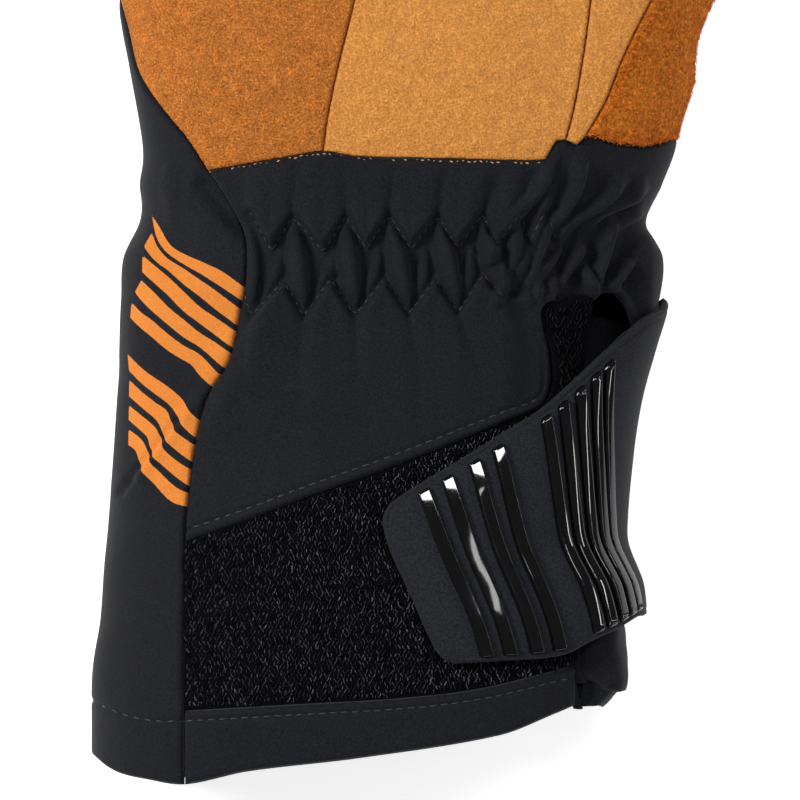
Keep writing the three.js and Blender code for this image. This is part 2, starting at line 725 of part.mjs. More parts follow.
// Plan outlines of the pieces, along the middle of their seams
const OUTLINES = {
  side_panel: [
    corner(FAR_LEFT, FAR_DOWN), corner(SIDE_SEAM[0].x, FAR_DOWN), ...SIDE_SEAM.slice(1),
    ...OUTER_SEAM.slice(1), corner(FAR_LEFT, 50),
  ],
  wrist_front: [
    ...WRIST_RIM, ...reversed(LEATHER_EDGE),
    ...reversed(SIDE_SEAM).filter((p) => p.y < 5 && p.y > WRIST_RIM[0].y),
  ],
  loop_patch: [
    ...HEM_SEAM, ...GUSSET_SEAM.slice(1, -1), corner(36.9, -20.1),
    ...reversed(WRIST_RIM.filter((p) => p.x < 35)),
  ],
  side_gusset: [
    ...WRIST_RIM.filter((p) => p.x > 33), corner(FAR_RIGHT, -30), corner(FAR_RIGHT, FAR_DOWN),
    corner(30, FAR_DOWN), corner(30, -20.1),
  ],
  hem_front: [
    corner(SIDE_SEAM[0].x, FAR_DOWN), corner(GUSSET_SEAM[0].x, FAR_DOWN), ...reversed(HEM_SEAM),
  ],
  palm_outer: [
    ...LEATHER_EDGE.slice(0, 3), ...CENTRE_SEAM.slice(1), corner(FAR_LEFT, FINGER_SEAM),
    corner(FAR_LEFT, 50), ...reversed(OUTER_SEAM).slice(0, -1),
  ],
  palm_centre: [
    ...LEATHER_EDGE.filter((p) => p.x > -14 && p.x < 32), ...THUMB_SEAM, corner(53, FINGER_SEAM),
    ...reversed(CENTRE_SEAM).slice(0, -1),
  ],
  thumb_front: [
    ...THUMB_SEAM.slice(0, 1), corner(34.4, 10.4), ...SUEDE_SEAM, corner(60, 118),
    ...reversed(THUMB_SEAM).slice(0, -1),
  ],
  thumb_suede: [
    ...SUEDE_SEAM.slice(0, 1), ...LEATHER_EDGE.filter((p) => p.x > 36.9), corner(FAR_RIGHT, 13),
    corner(FAR_RIGHT, 112), ...reversed(SUEDE_SEAM).slice(0, -1),
  ],
};

const BACK_OUTLINES = {
  back_panel: [
    corner(FAR_LEFT, FAR_DOWN), corner(FAR_RIGHT, FAR_DOWN), corner(FAR_RIGHT, 12),
    ...BACK_THUMB_LINE.slice(0, -1), corner(53, FINGER_SEAM), corner(FAR_LEFT, FINGER_SEAM),
  ],
  thumb_back: [
    corner(FAR_RIGHT, 12), corner(FAR_RIGHT, 125), corner(60, 125), ...reversed(BACK_THUMB_LINE),
  ],
};

// Lines between the fingers, out from the crotches, and one between the index and the thumb
const THUMB_CLEAR = 64;

function fingerOutline(index) {
  const between = (a, b, edge) => {
    if (!a) return [corner(THUMB_CLEAR, FINGER_SEAM), corner(THUMB_CLEAR, FAR_UP)];
    if (!b) return [corner(FAR_LEFT, FINGER_SEAM), corner(FAR_LEFT, FAR_UP)];
    const tilt = (FAR_UP - FINGER_ROOT) / ((a.tipY + b.tipY) / 2 - FINGER_ROOT);
    const base = (a.baseX + b.baseX) / 2 + edge;
    const tip = (a.tipX + b.tipX) / 2 + edge;
    const at = (y) => base + (tip - base) * tilt * (y - FINGER_ROOT) / (FAR_UP - FINGER_ROOT);
    return [corner(at(FINGER_SEAM), FINGER_SEAM), corner(at(FAR_UP), FAR_UP)];
  };
  const right = between(FINGERS[index - 1], FINGERS[index], 0);
  const left = between(FINGERS[index], FINGERS[index + 1], 0);
  return [...right, ...reversed(left)];
}

function buildPieces() {
  const skin = shells();
  const slots = seamSlots();
  const cut = Object.entries(skin).map(([key, solid]) => [key, solid.subtract(slots)]);
  const slotted = Object.fromEntries(cut);
  const above = partingSolid(GAP / 2, 90);
  const below = partingSolid(-GAP / 2, -20);
  const front = (shell, outline) => slotted[shell].intersect(prism(outline, -10, 85)).intersect(above);
  const back = (outline) => slotted.hand.intersect(prism(outline, -10, 85)).intersect(below);
  const gusset = gussetSolid().subtract(blade(WRIST_RIM))
    .intersect(prism(OUTLINES.side_gusset, -10, 85));
  const pieces = [
    ['side_panel', front('hand', OUTLINES.side_panel), 'softshell'],
    ['wrist_front', front('wrist', OUTLINES.wrist_front), 'softshell'],
    ['loop_patch', front('loop', OUTLINES.loop_patch), 'loop'],
    ['hem_front', front('hem', OUTLINES.hem_front), 'softshell'],
    ['side_gusset', gusset.intersect(above), 'softshell'],
    ['palm_outer', front('hand', OUTLINES.palm_outer), 'outerLeather'],
    ['palm_centre', front('hand', OUTLINES.palm_centre), 'palmLeather'],
    ['thumb_front', front('hand', OUTLINES.thumb_front), 'palmLeather'],
    ['thumb_suede', front('hand', OUTLINES.thumb_suede), 'suede'],
    ['thumb_back', back(BACK_OUTLINES.thumb_back), 'softshell'],
    ['back_panel', back(BACK_OUTLINES.back_panel), 'softshell'],
    ['strap', strapSolid(), 'softshell'],
  ];
  FINGERS.forEach((finger, i) => {
    pieces.push([`${finger.name}_front`, front('hand', fingerOutline(i)), 'palmLeather']);
    pieces.push([`${finger.name}_back`, back(fingerOutline(i)), 'softshell']);
  });
  RIBS.forEach((rib, i) => pieces.push([`grip_rib_${i + 1}`, ribSolid(rib.at), 'silicone']));
  return pieces.map(([name, solid, look]) => solidToMesh(solid, name, look));
}

// The origin is the middle of the glove's box, on the surface that it rests on
const glove = new THREE.Group();
glove.name = 'winter_cycling_glove';
glove.add(...buildPieces());
const box = new THREE.Box3().setFromObject(glove);
glove.position.set(-(box.min.x + box.max.x) / 2, -(box.min.y + box.max.y) / 2, -box.min.z);

export default glove;
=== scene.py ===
"""A winter cycling glove for the right hand, lying palm up on a pale floor.

The pattern is in millimetres: x runs to the thumb side, y to the fingertips, z up from the
surface. Each piece is made there, and moved into the frame's metres when it is finished.
"""

import math
import random

import bmesh
import bpy
import numpy as np
from mathutils import Matrix, Vector, noise
from mathutils.bvhtree import BVHTree
from mathutils.kdtree import KDTree


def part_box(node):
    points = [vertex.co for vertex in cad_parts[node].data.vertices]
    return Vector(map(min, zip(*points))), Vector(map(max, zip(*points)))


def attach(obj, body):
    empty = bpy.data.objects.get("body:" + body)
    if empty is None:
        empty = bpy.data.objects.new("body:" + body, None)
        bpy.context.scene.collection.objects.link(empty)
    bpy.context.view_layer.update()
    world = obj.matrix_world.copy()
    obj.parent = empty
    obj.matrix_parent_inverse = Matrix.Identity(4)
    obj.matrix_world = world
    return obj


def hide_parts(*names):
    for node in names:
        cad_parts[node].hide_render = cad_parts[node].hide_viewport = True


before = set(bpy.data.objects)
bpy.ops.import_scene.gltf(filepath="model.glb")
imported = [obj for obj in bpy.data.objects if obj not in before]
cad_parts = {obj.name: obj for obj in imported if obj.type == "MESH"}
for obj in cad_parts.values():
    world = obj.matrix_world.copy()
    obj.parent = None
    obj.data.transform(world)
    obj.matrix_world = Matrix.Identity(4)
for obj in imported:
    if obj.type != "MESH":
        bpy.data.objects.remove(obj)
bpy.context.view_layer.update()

MM = 0.001
HEM_LEFT_EDGE = -39.95  # the hem's left edge on the pattern
FINGER_LOW_EDGE = 107.65  # the fingers' lower edge on the pattern
ORIGIN = Vector((
    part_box("hem_front")[0].x - HEM_LEFT_EDGE * MM,
    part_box("middle_front")[0].y - FINGER_LOW_EDGE * MM,
    0,
))

# Cloth and leather
PANEL_WALL = 1.8
LOOP_FIELD_WALL = 1.0
CELL = 0.45  # fineness of the front's skins
PARTING = 12  # height of the side seam between the front and the back
PARTING_RISE = [(-130, 0), (100, 0), (140, 1.2), (200, 6)]  # y, and how much higher it is there
SIDE_LAP = 0.3  # how far the back reaches up behind the front at that seam
LOOPS_UNDER = 0.6  # how far the loop field reaches under its neighbours
LOOPS_SUNK = 0.9  # how much lower than the wrist's cloth the loop field lies
HEM_PROUD = 0.3  # how much higher the hem lies
HEM_END = -111
FINGER_SEAM = 107.5

# How far each skin of the front reaches before it is cut to its outline: left and right, where
# None is the side seam, low and high
FRONT_REACH = {
    "side_panel": (None, -25, HEM_END, 52),
    "wrist_front": (-43, None, -68, 15),
    "loop_patch": (-43, 39, -101, -15),
    "hem_front": (-43, 38, HEM_END, -84),
}
# The gentle waves of each cloth: height, size of the hollows, and seed
WAVES = {
    "wrist_front": (0.35, 14, 1),
    "side_panel": (0.5, 16, 2),
    "loop_patch": (0.12, 0.9, 3),
    "hem_front": (0.2, 12, 4),
    "strap": (0.25, 18, 5),
    "side_gusset": (0.5, 7, 6),
    "thumb_suede": (0.12, 0.9, 8),
}
# Radius of each edge where the cloth turns in
EDGE_ROUND = {
    "wrist_front": 0.9, "side_panel": 1.0, "hem_front": 1.1, "hand": 0.8, "strap": 0.7,
}
SIDE_SEAM_ROUND = 0.8
POCKET_ROUND = 3.2  # how much rounder the wrist's edge is over the fold beside the strap

# The tube of cuff, wrist and palm: y, left, right, top
BODY = [
    (-111, -57.6, 42.0, 46.0),
    (-95, -57.8, 41.6, 46.0),
    (-80, -56.1, 42.8, 45.2),
    (-65, -55.0, 41.5, 44.0),
    (-49, -54.0, 42.8, 42.6),
    (-38, -53.2, 44.5, 42.0),
    (-28, -52.3, 47.3, 41.6),
    (-19, -51.9, 50.4, 41.2),
    (-11, -51.6, 51.0, 40.4),
    (-4, -48.6, 48.0, 39.6),
    (3, -48.2, 50.9, 41.0),
    (12, -48.2, 53.8, 43.2),
    (26, -50.8, 53.0, 44.4),
    (38, -52.8, 52.2, 43.4),
    (60, -54.4, 50.8, 38.4),
    (80, -53.4, 49.6, 32.4),
    (98, -51.0, 48.8, 27.4),
    (104, -49.6, 48.0, 26.0),
]
BODY_SQUARE = 0.82  # 1 is an ellipse, less is boxier
BODY_WAIST = 0.44  # height of the widest line, as a share of the top
BODY_SAG = 4.5  # how far the round back is pressed flat by the surface
PALM_END = 104

# The hem's edge in plan, and how far up the cuff its slant reaches
HEM_EDGE = [
    (-58, -105.4), (-54, -108.4), (-47, -110.0), (-40, -110.8), (-28, -108.3), (-7, -105.8),
    (20, -101.5), (31, -97.4), (36, -95.4), (44, -92.6),
]
HEM_SLANT_REACH = 55

# The fingers: centre line at the base and the tip, and half widths there
FINGERS = [
    ("index", 36.8, 45.4, 171, 12.3, 11.6),
    ("middle", 11.8, 14.6, 187, 12.3, 11.6),
    ("ring", -13.0, -15.8, 178, 12.2, 11.2),
    ("little", -37.4, -46.8, 153, 11.9, 10.6),
]
FINGER_ROOT = 88
FINGER_HEIGHT = 12.0
FINGER_MIDDLE = 11.6
FINGER_CURL = 5.5
TIP_LENGTH = 1.05  # length of a finger's round end, in half widths

# The thumb's sections: place, x, y, z, half width, half height
THUMB = [
    (0, 31.5, 4, 21, 18.5, 18),
    (1, 31.8, 13, 21, 21.3, 20),
    (2, 36.5, 32, 21, 22.4, 20),
    (3, 45.5, 46, 20.5, 17.6, 17.5),
    (4, 58, 60, 20, 14.4, 14.8),
    (5, 69.5, 74.5, 19.6, 13.8, 13.6),
    (6, 79.5, 90, 19.6, 13.4, 12.8),
    (7, 87.5, 103, 20, 12.0, 11.6),
]
THUMB_TIP = 7.5
TUBE_SQUARE = 0.92

# Seams in plan, from the hem or the little-finger side onwards
SIDE_SEAM = [
    (-40.1, -125), (-40.1, -65), (-39.4, -56), (-37.8, -45), (-35.2, -36.5), (-31.6, -31),
    (-29.4, -21), (-28.3, -15), (-28.5, -7), (-31.4, -1), (-35.7, 5.3),
]
OUTER_SEAM = [
    (-35.7, 5.3), (-39.8, 11.6), (-44.4, 17.2), (-48.8, 24), (-51.4, 34), (-55, 44), (-62, 50),
]
LEATHER_EDGE = [
    (-35.7, 5.3), (-28, 6.6), (-19.5, 8.0), (-13.6, 8.9), (-8, 8.0), (10, 7.5), (27.8, 7.2),
    (28.6, 7.4), (30.7, 11.0), (32.4, 11.2), (34.4, 10.2), (36.2, 11.9), (37.6, 12.2),
    (40.2, 11.2), (48, 10.2), (54, 11.8), (62, 12.8),
]
CENTRE_SEAM = [
    (-13.6, 8.9), (-13, 14), (-11, 24), (-7.6, 38), (-3, 62), (0, 84), (0, FINGER_SEAM),
]
THUMB_SEAM = [
    (32.4, 11.2), (33.9, 17), (36, 29), (38, 43), (41.6, 56), (46, 66), (50.3, 72.8), (53, 80),
]
SUEDE_SEAM = [
    (36.2, 11.9), (40, 18.5), (43.2, 26.5), (47, 34.4), (53.5, 46), (64, 61.5), (77, 80),
    (87, 98), (94, 112),
]
WRIST_RIM = [
    (-40.1, -64.8), (-28, -60.6), (-16.9, -56.4), (1, -50), (20.3, -42.4), (28.4, -39.2),
    (30.4, -36.6), (30.8, -33.2), (30.0, -27.8), (28.4, -23.6), (27.8, -21.2), (29.2, -19.6),
    (31.4, -20.2), (34.2, -18.8), (37, -18.9), (39.6, -19.4), (41.2, -17.8), (43.2, -17.8),
    (44.8, -19.4), (45.8, -22.4), (46.8, -26), (49, -29), (60, -31),
]
HEM_SEAM = [
    (-40.1, -96.8), (-18, -95.5), (1, -94.4), (15.6, -92.7), (34.6, -88.3),
]
GUSSET_SEAM = [
    (34.6, -125), (34.6, -86), (32.6, -62), (34.2, -40), (37, -20),
]
BACK_THUMB_LINE = [
    (56, 12), (50.4, 13.5), (47.4, 30), (46, 50), (50.3, 72.8), (53, 80), (60, 92),
]
# Corners of the outlines; those named far lie clear of the glove
FAR_LEFT, FAR_RIGHT = -90, 110
FAR_DOWN, FAR_UP = -130, 205
THUMB_CLEAR = 64  # between the index finger and the thumb
PALM_RIGHT = 53
OUTER_END = OUTER_SEAM[-1][1]
THUMB_LEFT, THUMB_FRONT_UP, THUMB_BACK_UP = 60, 118, 125
SUEDE_DOWN, SUEDE_UP = 13, 112
THUMB_BACK_DOWN = 12

# The soft gusset at the thumb side, by -y: depth of its fold, x of its lobe, and how far it
# rolls outwards instead of folding in
GUSSET = [
    (15, 17, 47.0, 0), (32, 19, 43.6, 0), (50, 13, 40.6, 0), (66, 9, 39.8, 0),
    (75, 4, 41.0, 0.4), (80, 1, 43.2, 1), (85, 0.6, 43.8, 1), (88.6, 0.8, 43.5, 1),
    (91, 2, 43.2, 0.9), (93, 3, 42.6, 0.85), (95, 5, 41.0, 0.8), (96.2, 8, 39.6, 0.8),
]
# The gusset's section: share across, depth in its fold, and drop where it rolls outwards
GUSSET_SECTION = [
    (0, 0, 0.6), (0.01, 0.5, 2.0), (0.08, 1, 0.5), (0.5, 1.1, 0), (0.88, 0.95, 2.2),
]
GUSSET_WALL = 1.4
GUSSET_GRID = (140, 220)
GUSSET_CLEAR = 0.35  # gap beside the seam where it rolls outwards
GUSSET_SUNK = 1.2  # how far its upper edge lies below the cuff's skin
TUCKED_UNDER = 1.6  # how far its upper edge starts under the loop field
TOP_SUNK = 4.0  # how much deeper its end under the wrist lies,
TOP_SUNK_END = (19, 23)  # and the -y over which that ends
GUSSET_FOOT_IN = 0.8  # how far inside the side seam its foot stands
GUSSET_SIDE_IN = 1  # how far inside the side seam it stays where it folds in
GUSSET_KNEE = 8  # height above its foot where its fold starts

# The strap's two edges from the side seam to the tip: (height down the side, y) for the first
# ends, then (x, y) on the front
STRAP_TOP = [
    (13.2, -18.6), (22, -20.6), (48.3, -22.8), (41, -28.7), (28.5, -39.3), (19.2, -45),
    (4.9, -53.6), (-2.2, -58),
]
STRAP_BOTTOM = [
    (13.2, -76), (17, -78), (22, -79), (46.2, -79.4), (38.6, -83.2), (31.4, -86.4),
    (17.6, -87.5), (9.8, -87.9),
]
STRAP_ON_SIDE = {"top": 2, "bottom": 3}  # how many of the ends are heights on the side
STRAP_LAST = 7
STRAP_THICK = 2.0
STRAP_CLEAR = 0.7
STRAP_ROUND_TIP = 2.4
STRAP_FLARE = 2.5
STRAP_FLARE_START, STRAP_FLARE_END = -63, -74
STRAP_FLARE_TURNS = (0.08, 0.2)  # over these turns the flare ends towards the front
STRAP_TIP_WIDE = 32.0
STRAP_CORNERS = (3.4, 2.8)  # radii of the tip's corners, at the top edge and the bottom edge
STRAP_GRID = (230, 130)
STRAP_EDGE_DENSE = 0.12  # how much closer the grid's lines are at the two edges
STRAP_LINE = (1.1, 0.3, 0.25)  # the pressed line along its edge: from the edge, wide, deep
STRAP_BACK_GAP = 0.1  # how much thinner the cloth is than its CAD solid
TIP_REACH = 12.0  # millimetres for one place along the strap, near its tip
TIP_ONLY = 12  # how strongly the tip's shape keeps to the tip
EDGE_DROP, EDGE_DROP_WIDE = 0.6, 6.5  # the top edge turns down a little

# Moulded ribs: places along the strap, and how round their edges are
RIBS = [3.0, 3.24, 3.48, 3.73, 4.0, 5.02, 5.35, 5.68, 6.01]
RIB_BEVELS = [0.92] * 5 + [0.28] * 4
RIB_WIDE = 2.4
RIB_HIGH = 1.0
RIB_LONG = 30
RIB_STEPS = 60
RIB_ROOT = 0.3  # how much of its lower half stays, sunk in the strap
RIB_FROM, RIB_TO = 0.04, 0.972
SHARP = 0.8  # an edge that turns by more than this, in radians, is rounded
RIB_ROUND_STEPS = 4
FLAT_TOP_WEIGHT = 100  # keeps the top of a rib with narrow rounds flat in the light

# Places read off the photograph, in its pixels, are turned into the pattern's millimetres
PIXEL = 0.19
PHOTO_X, PHOTO_Y = 395, 200
FRAME_WIDE = 800
FRAME_MIDDLE = (400, 400)


def plan(pixels):
    """Places on the photograph, as places on the pattern seen from above."""
    return [((x - PHOTO_X) * PIXEL, (PHOTO_Y - y) * PIXEL) for x, y in pixels]


# The wrist's two rows of elastic stitching, peak, valley, peak
UPPER_ROW = [
    (250, 212), (272, 252), (293, 217), (324, 253), (346, 217), (367, 250), (389, 215),
    (411, 250), (438, 216), (457, 249), (483, 214), (496, 246), (520, 214), (529, 243),
    (546, 210), (556, 240),
]
LOWER_ROW = [
    (241, 284), (252, 316), (284, 281), (304, 316), (331, 279), (355, 316), (384, 279),
    (409, 314), (435, 279), (458, 312), (483, 275), (503, 297),
]
# Creases of the gathers, from a stitch up to the leather and down towards the strap
CREASES_ABOVE = [
    ((246, 212), (242, 168)), ((293, 217), (296, 168)), ((346, 217), (344, 168)),
    ((389, 215), (394, 168)), ((438, 216), (446, 168)), ((483, 214), (500, 172)),
    ((520, 214), (548, 172)),
]
# Between the rows, long puffs from a peak of the upper row to a valley of the lower one, and
# small ridges beside them
LONG_PUFFS = [
    ((250, 226), (252, 312)), ((294, 218), (306, 317)), ((346, 218), (357, 317)),
    ((391, 216), (411, 316)), ((440, 216), (460, 314)), ((484, 214), (504, 298)),
    ((517, 216), (522, 280)),
]
SMALL_RIDGES = [
    ((264, 304), (283, 246)), ((315, 304), (337, 248)), ((366, 304), (380, 246)),
    ((419, 303), (425, 246)), ((466, 300), (472, 242)),
]
CREASES_BELOW = [
    ((252, 316), (240, 372)), ((304, 316), (300, 372)), ((355, 316), (358, 372)),
    ((409, 314), (420, 372)), ((458, 312), (482, 372)), ((503, 297), (545, 360)),
]
# Long folds that fan out towards the thumb: the line, and its height
FOLDS = [
    ([(557, 150), (540, 190), (516, 219), (498, 242), (488, 262)], 1.2),
    ([(553, 180), (542, 217), (529, 254), (519, 278)], 1.2),
    ([(584, 150), (576, 190), (563, 214), (550, 233), (539, 256), (532, 282)], 1.4),
    ([(629, 174), (600, 204), (571, 227), (558, 244)], 1.4),
    ([(659, 174), (632, 198), (605, 212), (590, 226)], 1.2),
    ([(656, 198), (632, 219), (617, 228)], 1.1),
    ([(520, 222), (516, 248), (505, 288), (500, 300)], 1.2),
    ([(566, 227), (558, 256), (541, 276)], 1.5),
    ([(591, 227), (587, 248), (571, 272), (560, 290)], 1.8),
    ([(617, 211), (616, 240), (605, 274), (602, 286)], 2.0),
    ([(586, 252), (596, 282), (604, 298)], 2.2),
    ([(646, 246), (634, 267), (617, 290)], 2.0),
    ([(635, 227), (642, 243), (646, 254)], 0.9),
    ([(559, 258), (556, 288), (547, 312)], 1.8),
    ([(536, 267), (540, 288), (538, 311)], 1.4),
    ([(515, 278), (526, 293), (541, 320)], 1.2),
]
FOLD_LIT, FOLD_DARK = 2.1, 1.25  # half widths of a fold on its two sides
FOLD_STARTS, FOLD_STOPS = (0, 5), (-2, 2)  # over these lengths a fold rises at its two ends
FOLD_RISE = 1.9
# The wrist is hollow under the folds, and more so under the knots over the fold beside the
# strap: depth, over which x it starts, and over which y it ends
FOLD_HOLLOW = (1.2, (20, 27), (-8, 8))
KNOT_HOLLOW = (3.0, (27, 32), (-8, -3))
FOLDS_END = (45, 49)  # over this x the folds and hollows end at the thumb side
POCKET_START, POCKET_END = (27, 33), (40, 43.5)  # over this x the edge is rounder,
POCKET_TOP = (-19, -10)  # and below this y
SIDE_OVERHANG = [(272, 303), (237, 346), (221, 374), (206, 404)]  # the wrist laps over the side
OVERHANG_HIGH, OVERHANG_LEFT, OVERHANG_RIGHT = 1.5, 6.0, 0.7


def along(rows, column, at):
    """A smooth value between the rows of a table, which are ordered by their first column."""
    table = np.array(rows, float)
    keys, values = table[:, 0], table[:, column]
    last = len(keys) - 1
    before = np.maximum(np.arange(last + 1) - 1, 0)
    after = np.minimum(np.arange(last + 1) + 1, last)
    slopes = (values[after] - values[before]) / (keys[after] - keys[before])
    at = np.clip(at, keys[0], keys[-1])
    i = np.clip(np.searchsorted(keys, at, side="right") - 1, 0, last - 1)
    span = keys[i + 1] - keys[i]
    t = (at - keys[i]) / span
    rise = t * t * (3 - 2 * t)
    bend = (1 - t) * slopes[i] - t * slopes[i + 1]
    return values[i] * (1 - rise) + values[i + 1] * rise + span * t * (1 - t) * bend


def smoothstep(start, end, at):
    """0 before the start, 1 after the end, and a smooth rise between them."""
    t = np.clip((np.asarray(at, float) - start) / (end - start), 0, 1)
    return t * t * (3 - 2 * t)


def signed_power(value, power):
    return np.sign(value) * np.abs(value) ** power


def body_points(turn, y, out=0.0):
    """The body's skin. turn is 0 at the thumb side, a quarter on the palm, a half at the
    little-finger side and three quarters on the back; out moves it away from the inside."""
    left = along(BODY, 1, y) - out
    right = along(BODY, 2, y) + out
    top = along(BODY, 3, y)
    waist = top * BODY_WAIST
    angle = np.asarray(turn) * math.tau
    reach = np.where(np.sin(angle) >= 0, top + out - waist, waist + BODY_SAG)
    x = (left + right) / 2 + (right - left) / 2 * signed_power(np.cos(angle), BODY_SQUARE)
    z = waist + reach * signed_power(np.sin(angle), BODY_SQUARE)
    slant = along(HEM_EDGE, 1, x) - HEM_END
    share = 1 - smoothstep(HEM_END, HEM_END + HEM_SLANT_REACH, y)
    return np.stack([x, y + slant * share, np.maximum(z, -np.minimum(out, 0))], axis=-1)


def turn_at_x(x, y, out=0.0):
    """The turn of the palm side at a place in plan."""
    left = along(BODY, 1, y) - out
    right = along(BODY, 2, y) + out
    share = np.clip((2 * x - left - right) / (right - left), -1, 1)
    return np.arccos(signed_power(share, 1 / BODY_SQUARE)) / math.tau


def turn_at_height(z, y):
    """The turn of the thumb side at a height."""
    top = along(BODY, 3, y)
    waist = top * BODY_WAIST
    reach = np.where(z >= waist, top - waist, waist + BODY_SAG)
    return np.arcsin(signed_power((z - waist) / reach, 1 / BODY_SQUARE)) / math.tau


# Turns from the little-finger side to the thumb side, and the lengths round the cuff there
EVEN_COUNT = 500
EVEN_FROM, EVEN_TO = 0.56, -0.06
EVEN_AT = -40.0
EVEN_TURNS = np.linspace(EVEN_FROM, EVEN_TO, EVEN_COUNT)
EVEN_SECTION = body_points(EVEN_TURNS, np.full(EVEN_COUNT, EVEN_AT))
EVEN_LENGTHS = np.concatenate([
    [0.0],
    np.cumsum(np.linalg.norm(np.diff(EVEN_SECTION[:, [0, 2]], axis=0), axis=1)),
])


def even_turn(share, start, end):
    """A turn between two others, in even steps along the skin."""
    length_start = np.interp(-start, -EVEN_TURNS, EVEN_LENGTHS)
    length_end = np.interp(-end, -EVEN_TURNS, EVEN_LENGTHS)
    return np.interp(length_start * (1 - share) + length_end * share, EVEN_LENGTHS, EVEN_TURNS)


def points_of(mesh):
    flat = np.empty(len(mesh.vertices) * 3)
    mesh.vertices.foreach_get("co", flat)
    return flat.reshape(-1, 3)


def normals_of(mesh):
    flat = np.empty(len(mesh.vertices) * 3)
    mesh.vertex_normals.foreach_get("vector", flat)
    return flat.reshape(-1, 3)


def move_points(mesh, points):
    mesh.vertices.foreach_set("co", np.ascontiguousarray(points, float).ravel())
    mesh.update()


def raise_skin(mesh, heights):
    """Moves a skin out along its normals."""
    move_points(mesh, points_of(mesh) + normals_of(mesh) * heights[:, None])


def mesh_from(bm, name):
    mesh = bpy.data.meshes.new(name)
    bm.to_mesh(mesh)
    bm.free()
    return mesh


def bmesh_of(mesh):
    bm = bmesh.new()
    bm.from_mesh(mesh)
    return bm


def skin_grid(name, columns, rows, place):
    """A grid moved onto a surface: place takes the shares across and along it."""
    bm = bmesh.new()
    bmesh.ops.create_grid(bm, x_segments=columns, y_segments=rows, size=0.5)
    mesh = mesh_from(bm, name)
    flat = points_of(mesh) + 0.5
    move_points(mesh, place(np.clip(flat[:, 0], 0, 1), np.clip(flat[:, 1], 0, 1)))
    return mesh


# Curves in plan

LINE_STEP = 1.4
TINY = 1e-6  # keeps a length of nothing from dividing
FAR_OFF = 1e9


def smooth_line(corners):
    """A smooth line through the corners of a seam, in short pieces."""
    spots = [Vector(c) for c in corners]
    spots = [spots[0] * 2 - spots[1]] + spots + [spots[-1] * 2 - spots[-2]]
    line = []
    for a, b, c, d in zip(spots, spots[1:], spots[2:], spots[3:]):
        k0, k1, k2 = [max((q - p).length, TINY) ** 0.5 for p, q in ((a, b), (b, c), (c, d))]
        out = (b - a) / k0 - (c - a) / (k0 + k1) + (c - b) / k1
        into = (c - b) / k1 - (d - b) / (k1 + k2) + (d - c) / k2
        pieces = max(1, round((c - b).length / LINE_STEP))
        for i in range(pieces):
            t = i / pieces
            line.append(
                b * (1 + t * t * (2 * t - 3)) + c * (t * t * (3 - 2 * t))
                + out * k1 * (t * (1 - t) ** 2) + into * k1 * (t * t * (t - 1))
            )
    line.append(spots[-2])
    return [tuple(p) for p in line]


def nearest_on_line(spots, line):
    """For each place in plan: its distance from a line, the nearest place on the line, and
    the side of the line it is on (1 is left of its direction)."""
    best = np.full(len(spots), FAR_OFF)
    nearest = np.zeros((len(spots), 2))
    side = np.ones(len(spots))
    line = np.array(line, float)
    for start, end in zip(line[:-1], line[1:]):
        way = end - start
        length2 = max(way @ way, TINY ** 2)
        t = np.clip(((spots - start) @ way) / length2, 0, 1)
        foot = start + t[:, None] * way
        gap = spots - foot
        distance = np.hypot(gap[:, 0], gap[:, 1])
        closer = distance < best
        best[closer] = distance[closer]
        nearest[closer] = foot[closer]
        turn = way[0] * gap[:, 1] - way[1] * gap[:, 0]
        side[closer] = np.where(turn[closer] >= 0, 1, -1)
    return best, nearest, side


def inside_outline(spots, outline):
    """Which places are inside a closed outline in plan."""
    inside = np.zeros(len(spots), bool)
    corners = np.array(outline, float)
    x, y = spots[:, 0], spots[:, 1]
    for (x0, y0), (x1, y1) in zip(corners, np.roll(corners, -1, axis=0)):
        if y0 != y1:
            crosses = (y0 > y) != (y1 > y)
            inside ^= crosses & (x < (x1 - x0) * (y - y0) / (y1 - y0) + x0)
    return inside


STEEPEST = 0.3  # a skin whose normal rises less than this is cut as if it rose this much


def plan_cut(outline):
    """Cuts a skin to a closed outline in plan."""
    closed = list(outline) + [outline[0]]

    def cut(points, normals):
        _, nearest, _ = nearest_on_line(points[:, :2], closed)
        inside = inside_outline(points[:, :2], outline)
        shift = np.zeros_like(points)
        shift[:, :2] = nearest - points[:, :2]
        rise = (normals[:, :2] * shift[:, :2]).sum(axis=1)
        steep = np.maximum(np.abs(normals[:, 2]), STEEPEST)
        flat = np.hypot(shift[:, 0], shift[:, 1])
        shift[:, 2] = np.clip(-rise / steep * np.sign(normals[:, 2]), -flat, flat)
        length = np.linalg.norm(shift, axis=1)
        return np.where(inside, length, -length), shift

    return cut


def parting_height(y):
    """Height of the side seam, which follows the fingers' curl."""
    places, rises = zip(*PARTING_RISE)
    return np.interp(y, places, [PARTING + rise for rise in rises])


def side_cut(keep):
    """Cuts a skin at the side seam and keeps what is above it (1) or below it (-1)."""
    def cut(points, _):
        shift = np.zeros_like(points)
        seam = parting_height(points[:, 1]) + (SIDE_LAP if keep < 0 else 0)
        shift[:, 2] = seam - points[:, 2]
        return -keep * shift[:, 2], shift

    return cut


def edge_distance(mesh, cuts):
    """How far each point is inside the nearest cut, and the way to that cut."""
    points, normals = points_of(mesh), normals_of(mesh)
    distance = np.full(len(points), FAR_OFF)
    shift = np.zeros_like(points)
    for cut in cuts:
        this, way = cut(points, normals)
        closer = this < distance
        distance[closer] = this[closer]
        shift[closer] = way[closer]
    return distance, shift


# In cells: how near a cut a point goes onto it, how far a point of the new rim is pulled, and
# how close points become one
SNAP_REACH, PULL_REACH, MERGE_REACH = 0.5, 2, 0.15


